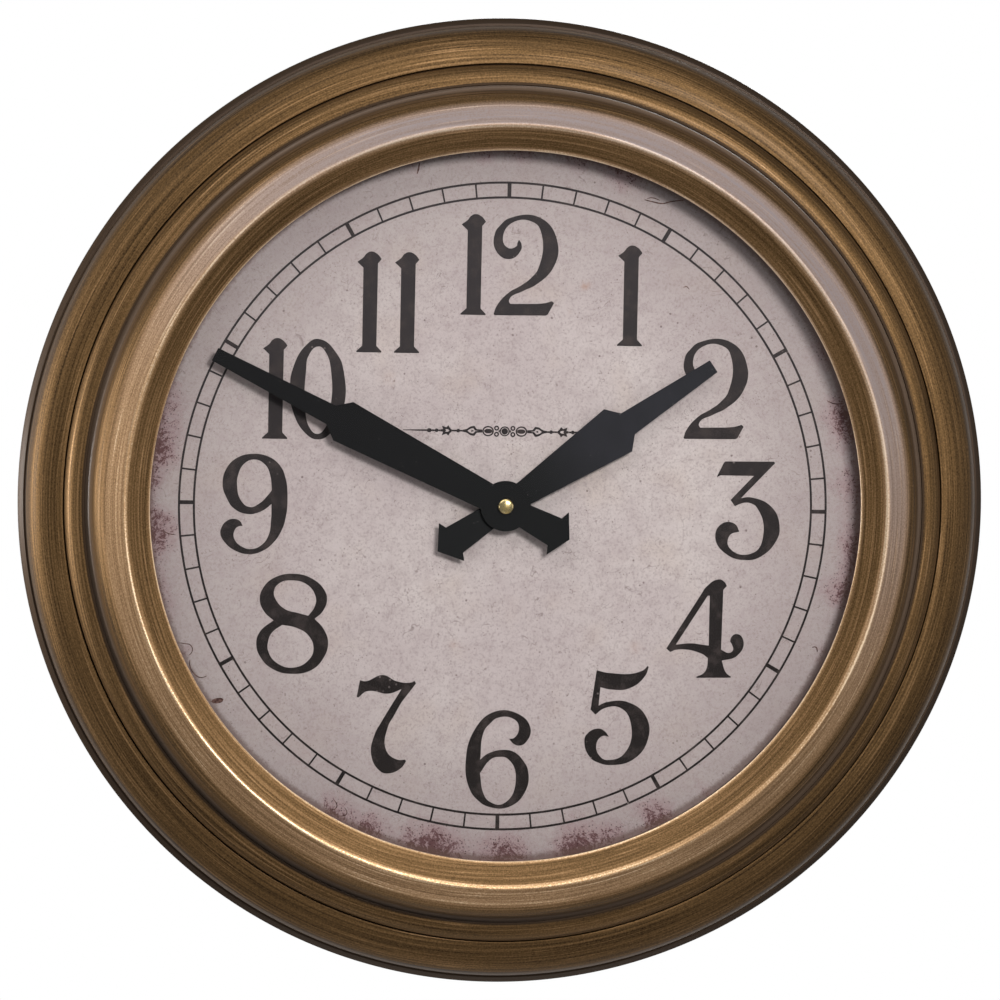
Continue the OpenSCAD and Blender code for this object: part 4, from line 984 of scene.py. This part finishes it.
def divider():
    """The outlines of the whole rule: its right half, the mirror image and the middle."""
    half = [
        *oval_line(8.2, 3.1, 2.5, 2.5, 1.4),
        *oval_line(8.2, -3.1, 2.5, 2.5, 1.4),
        bar(5.1, 6.2, 2.4, 2.4),
        *oval_line(16.7, 0, 5.8, 5.2, 1.4),
        oval(16.5, 0, 4.1, 2.2),
        both_sides([
            sharp(22.6, 1.5), sharp(28, 1.7), sharp(30.5, 5.1), (34.5, 4.2), (38, 2.0), sharp(42.5, 0.9),
        ]),
        both_sides([sharp(25.5, 0), sharp(29.7, -0.3), sharp(31.6, -2.7), (34.5, -2.0), sharp(37.2, 0)]),
        both_sides([sharp(30.3, 0), sharp(34, 1.2), sharp(33.2, 0)]),
        bar(42.6, 44.7, 1.7, 1.7),
        oval(46.6, 0, 1.9, 1.8),
        bar(48.5, 52.9, 1.7, 1.7),
        both_sides([
            sharp(53, 0.9), (55, 2.8), sharp(56.4, 5.2), sharp(58.6, 3.2), sharp(63, 4.8), sharp(61.9, 1.4),
            sharp(64.4, 0.9),
        ]),
        both_sides([sharp(55.4, 0), (57, 1.2), sharp(59.6, 1.2), sharp(58.7, 0)]),
        bar(64.5, 66.3, 1.7, 1.7),
        oval(68.2, 0, 1.9, 1.8),
        bar(70.1, 73.1, 1.7, 1.7),
        oval(75.6, 0, 2.5, 2.0),
        bar(78.1, 102, 1.8, 0.6),
    ]
    mirrored = [[(-x, y, *kind) for x, y, *kind in loop] for loop in half]
    middle = [*oval_line(0, 0, 5.0, 5.0, 1.2), oval(0, 0, 3.2, 3.2)]
    shift_x, shift_y = DIVIDER_AT
    return [
        [(x * DIVIDER_UNIT + shift_x, y * DIVIDER_UNIT + shift_y, *kind) for x, y, *kind in loop]
        for loop in half + mirrored + middle
    ]


printed("divider_ornament", filled(divider(), PRINT_T))

# Scratches and dark runs in the paper: width, then clock angle in degrees and millimetres from the axis
MARKS = [
    (0.55, [(24.6, 158.7), (26.2, 159.6), (27.6, 160.8), (28.8, 163.7), (30.6, 167.4)]),
    (0.4, [(24.9, 159.6), (25.5, 160.9), (27, 161.6)]),
    (0.45, [(240.4, 162.2), (240.7, 165.2), (241.8, 166.9), (243.4, 166.8), (244.1, 165.6)]),
    (0.4, [(244.8, 165.4), (245.2, 162.9), (246.2, 162.4), (246.8, 164.4), (247.4, 167.4)]),
    (2.4, [(235.6, 161.6), (235.8, 163.2), (236.4, 166.6)]),
    (0.7, [(345.2, 162), (345.6, 164), (346, 166.6)]),
    (0.5, [(72.2, 160.6), (73, 163.2), (73.4, 166.8)]),
    (0.6, [(115, 161.4), (114.7, 163), (115.4, 164.6)]),
    (0.5, [(210.4, 161), (209.2, 163.4), (210, 166.8)]),
    (0.5, [(208, 162), (207.2, 164.2), (208.4, 167)]),
    (0.5, [(265.2, 156.6), (265.4, 159), (266, 162)]),
    (0.4, [(39.4, 133), (39.8, 134.4), (40.6, 134.2)]),
]
# The share of a mark's width that is left at its ends
FINE_END = 0.25


def stroke(width, route):
    """A thin line with fine ends through the given points."""
    turns = [(math.radians(angle), radius) for angle, radius in route]
    points = [Vector((radius * math.sin(angle), radius * math.cos(angle))) for angle, radius in turns]
    left = []
    right = []
    for i, point in enumerate(points):
        run = (points[min(i + 1, len(points) - 1)] - points[max(i - 1, 0)]).normalized()
        half = width / 2 if 0 < i < len(points) - 1 else width / 2 * FINE_END
        aside = Vector((-run.y, run.x)) * half
        left.append(tuple(point + aside))
        right.append(tuple(point - aside))
    return left + right[::-1]


printed("paper_marks", filled([stroke(*mark) for mark in MARKS], PRINT_T), BROWN_LINE, (0, 0), 0)

# Hands, in millimetres
HUB_R = 11.9
HUB_STEPS = 12
HOUR_BORE_R = 2.72
MINUTE_BORE_R = 1.42
BORE_STEPS = 32
HAND_BEVEL = 0.12
# The least turn of an edge that is softened
BEVEL_FROM = math.radians(60)
# Half width and reach of each corner on one side
MINUTE_SIDE = [
    (3.3, 154.7), (4.9, 93.2), (10.2, 86.6), (6.1, 0), (5, 0), (7.2, -26.2), (11.3, -27.8), (0, -34.1),
]
HOUR_SIDE = [
    (3.3, 118.5), (5.9, 69.7), (12, 64.1), (4.7, 0), (5, 0), (7.2, -29), (10.8, -30.6), (0, -38.6),
]


def hub_crossing(outside, inside):
    """Where a straight side of a hand meets its round hub."""
    start = Vector(outside)
    run = Vector(inside) - start
    a = run.dot(run)
    b = start.dot(run)
    t = (-b - math.sqrt(b * b - a * (start.dot(start) - HUB_R**2))) / a
    return start + run * t


def hand_outline(side):
    """One hand's outline, tip up, with its hub."""
    tip, blade, shoulder, root, tail_root, tail, barb, point = side
    above = hub_crossing(shoulder, root)
    below = hub_crossing(tail, tail_root)
    start = math.degrees(math.atan2(above.y, above.x))
    end = math.degrees(math.atan2(below.y, below.x))
    right = [tip, blade, shoulder] + arc((0, 0), (HUB_R, HUB_R), start, end, HUB_STEPS) + [tail, barb]
    return right + [point] + [(-x, y) for x, y in reversed(right)]


def hand(name, node, side, angle, bore):
    """A flat hand with softened edges, on the body and in the place of its node."""
    low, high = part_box(node)
    outline = [sharp(*point) for point in hand_outline(side)]
    hole = [sharp(*point) for point in arc((0, 0), (bore, bore), 0, 360, BORE_STEPS)[:-1]]
    mesh = filled([outline, hole], (high.y - low.y) / MM)
    slot = node + "_paint"
    piece = link(name, stand_up(mesh, -high.y / MM, (0, 0), -angle), MATERIALS[slot])
    edge = piece.modifiers.new("edge", "BEVEL")
    edge.width = HAND_BEVEL * MM
    edge.segments = 2
    edge.limit_method = "ANGLE"
    edge.angle_limit = BEVEL_FROM
    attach(piece, node)
    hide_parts(node)


hand("hour_blade", "hour_hand", HOUR_SIDE, HOUR_ANGLE, HOUR_BORE_R)
hand("minute_blade", "minute_hand", MINUTE_SIDE, MINUTE_ANGLE, MINUTE_BORE_R)

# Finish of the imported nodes
for part in frame["record"]["subparts"]:
    shape = frame["nodes"][part["node"]].data
    shape.materials.clear()
    shape.materials.append(MATERIALS[part["material_slot"]])


# Light

def towards(azimuth, elevation, distance):
    """A place seen from the clock: degrees right of straight ahead, degrees above it, and metres away."""
    a = math.radians(azimuth)
    e = math.radians(elevation)
    return Vector((math.sin(a) * math.cos(e), -math.cos(a) * math.cos(e), math.sin(e))) * distance


def aimed(name, data, place, aim):
    """A new lamp or camera at a place, turned to face another."""
    piece = bpy.data.objects.new(name, data)
    piece.location = place
    piece.rotation_euler = (aim - place).to_track_quat("-Z", "Y").to_euler()
    scene.collection.objects.link(piece)
    return piece


# Soft lamps that shine at the middle of the clock: place, width and height in metres, watts
LAMPS = {
    "key": (towards(18, 20.6, 2.2), 0.6, 0.5, 33.5),
    "overhead": (towards(-14, 56, 2.0), 1.6, 0.9, 8.5),
    "floor_bounce": (towards(0, -50, 2.0), 1.6, 0.8, 1.1),
    "upper_left": (towards(-48, 40, 2.0), 1.0, 0.8, 5),
    "left_strip": (Vector((-1.6, -0.1, 0)), 0.34, 0.34, 9),
    "left_fill": (towards(-96, 3, 2.0), 1.0, 1.0, 12),
    "right_fill": (towards(72, 0, 2.0), 1.0, 1.0, 3),
    "back_fill": (towards(170, 22, 4.0), 1.4, 1.4, 110),
}
for name, (place, width, height, watts) in LAMPS.items():
    lamp = bpy.data.lights.new(name, "AREA")
    lamp.shape = "RECTANGLE"
    lamp.size = width
    lamp.size_y = height
    lamp.energy = watts
    aimed(name, lamp, place, Vector((0, 0, 0)))


# World
AMBIENT = (0.25, 0.25, 0.255, 1)
WHITE = (1, 1, 1, 1)
# How far back a mirrored ray points where the white starts, and where it is full
WHITE_FROM = 0.35
WHITE_FULL = 0.75


def studio():
    """A dim grey for light. The camera and clear glass see white, and gloss sees white behind the clock."""
    sky = Shader("studio", bpy.data.worlds)
    ray = sky.add("LightPath", {}).outputs
    back = sky.parts(sky.add("TexCoord", {}).outputs["Generated"])[1]
    inputs = {"Value": back, "From Min": WHITE_FROM, "From Max": WHITE_FULL}
    behind = sky.add("MapRange", inputs).outputs[0]
    mirrored = sky.times(behind, ray["Is Glossy Ray"])
    clear = sky.math("MAXIMUM", ray["Is Camera Ray"], ray["Is Transmission Ray"])
    tint = sky.mix(sky.math("MAXIMUM", mirrored, clear), AMBIENT, WHITE)
    return sky.finish(sky.add("Background", {"Color": tint}).outputs[0], "OutputWorld")


scene.world = studio()

# Floor below the hanging clock
FLOOR_Z = -1.9
FLOOR_R = 0.9
FLOOR_SIDES = 128
floor_mesh = bpy.data.meshes.new("floor")
disc = bmesh.new()
bmesh.ops.create_circle(disc, cap_ends=True, segments=FLOOR_SIDES, radius=FLOOR_R)
disc.to_mesh(floor_mesh)
disc.free()
floor_mesh.transform(Matrix.Translation((0, 0, FLOOR_Z)))
link("floor", floor_mesh, made("floor", pale_floor))

# Camera: a little left of the clock and a little above it
CAMERA_AIM = Vector((-0.0009, -0.008, 0.0012))
CAMERA_PLACE = CAMERA_AIM + towards(-3.71, 3.58, 3.0)
CAMERA_LENS = 226.8
CAMERA_SENSOR = 36
camera_data = bpy.data.cameras.new("camera")
camera_data.lens = CAMERA_LENS
camera_data.sensor_width = CAMERA_SENSOR
scene.camera = aimed("camera", camera_data, CAMERA_PLACE, CAMERA_AIM)
scene.view_settings.view_transform = "Standard"
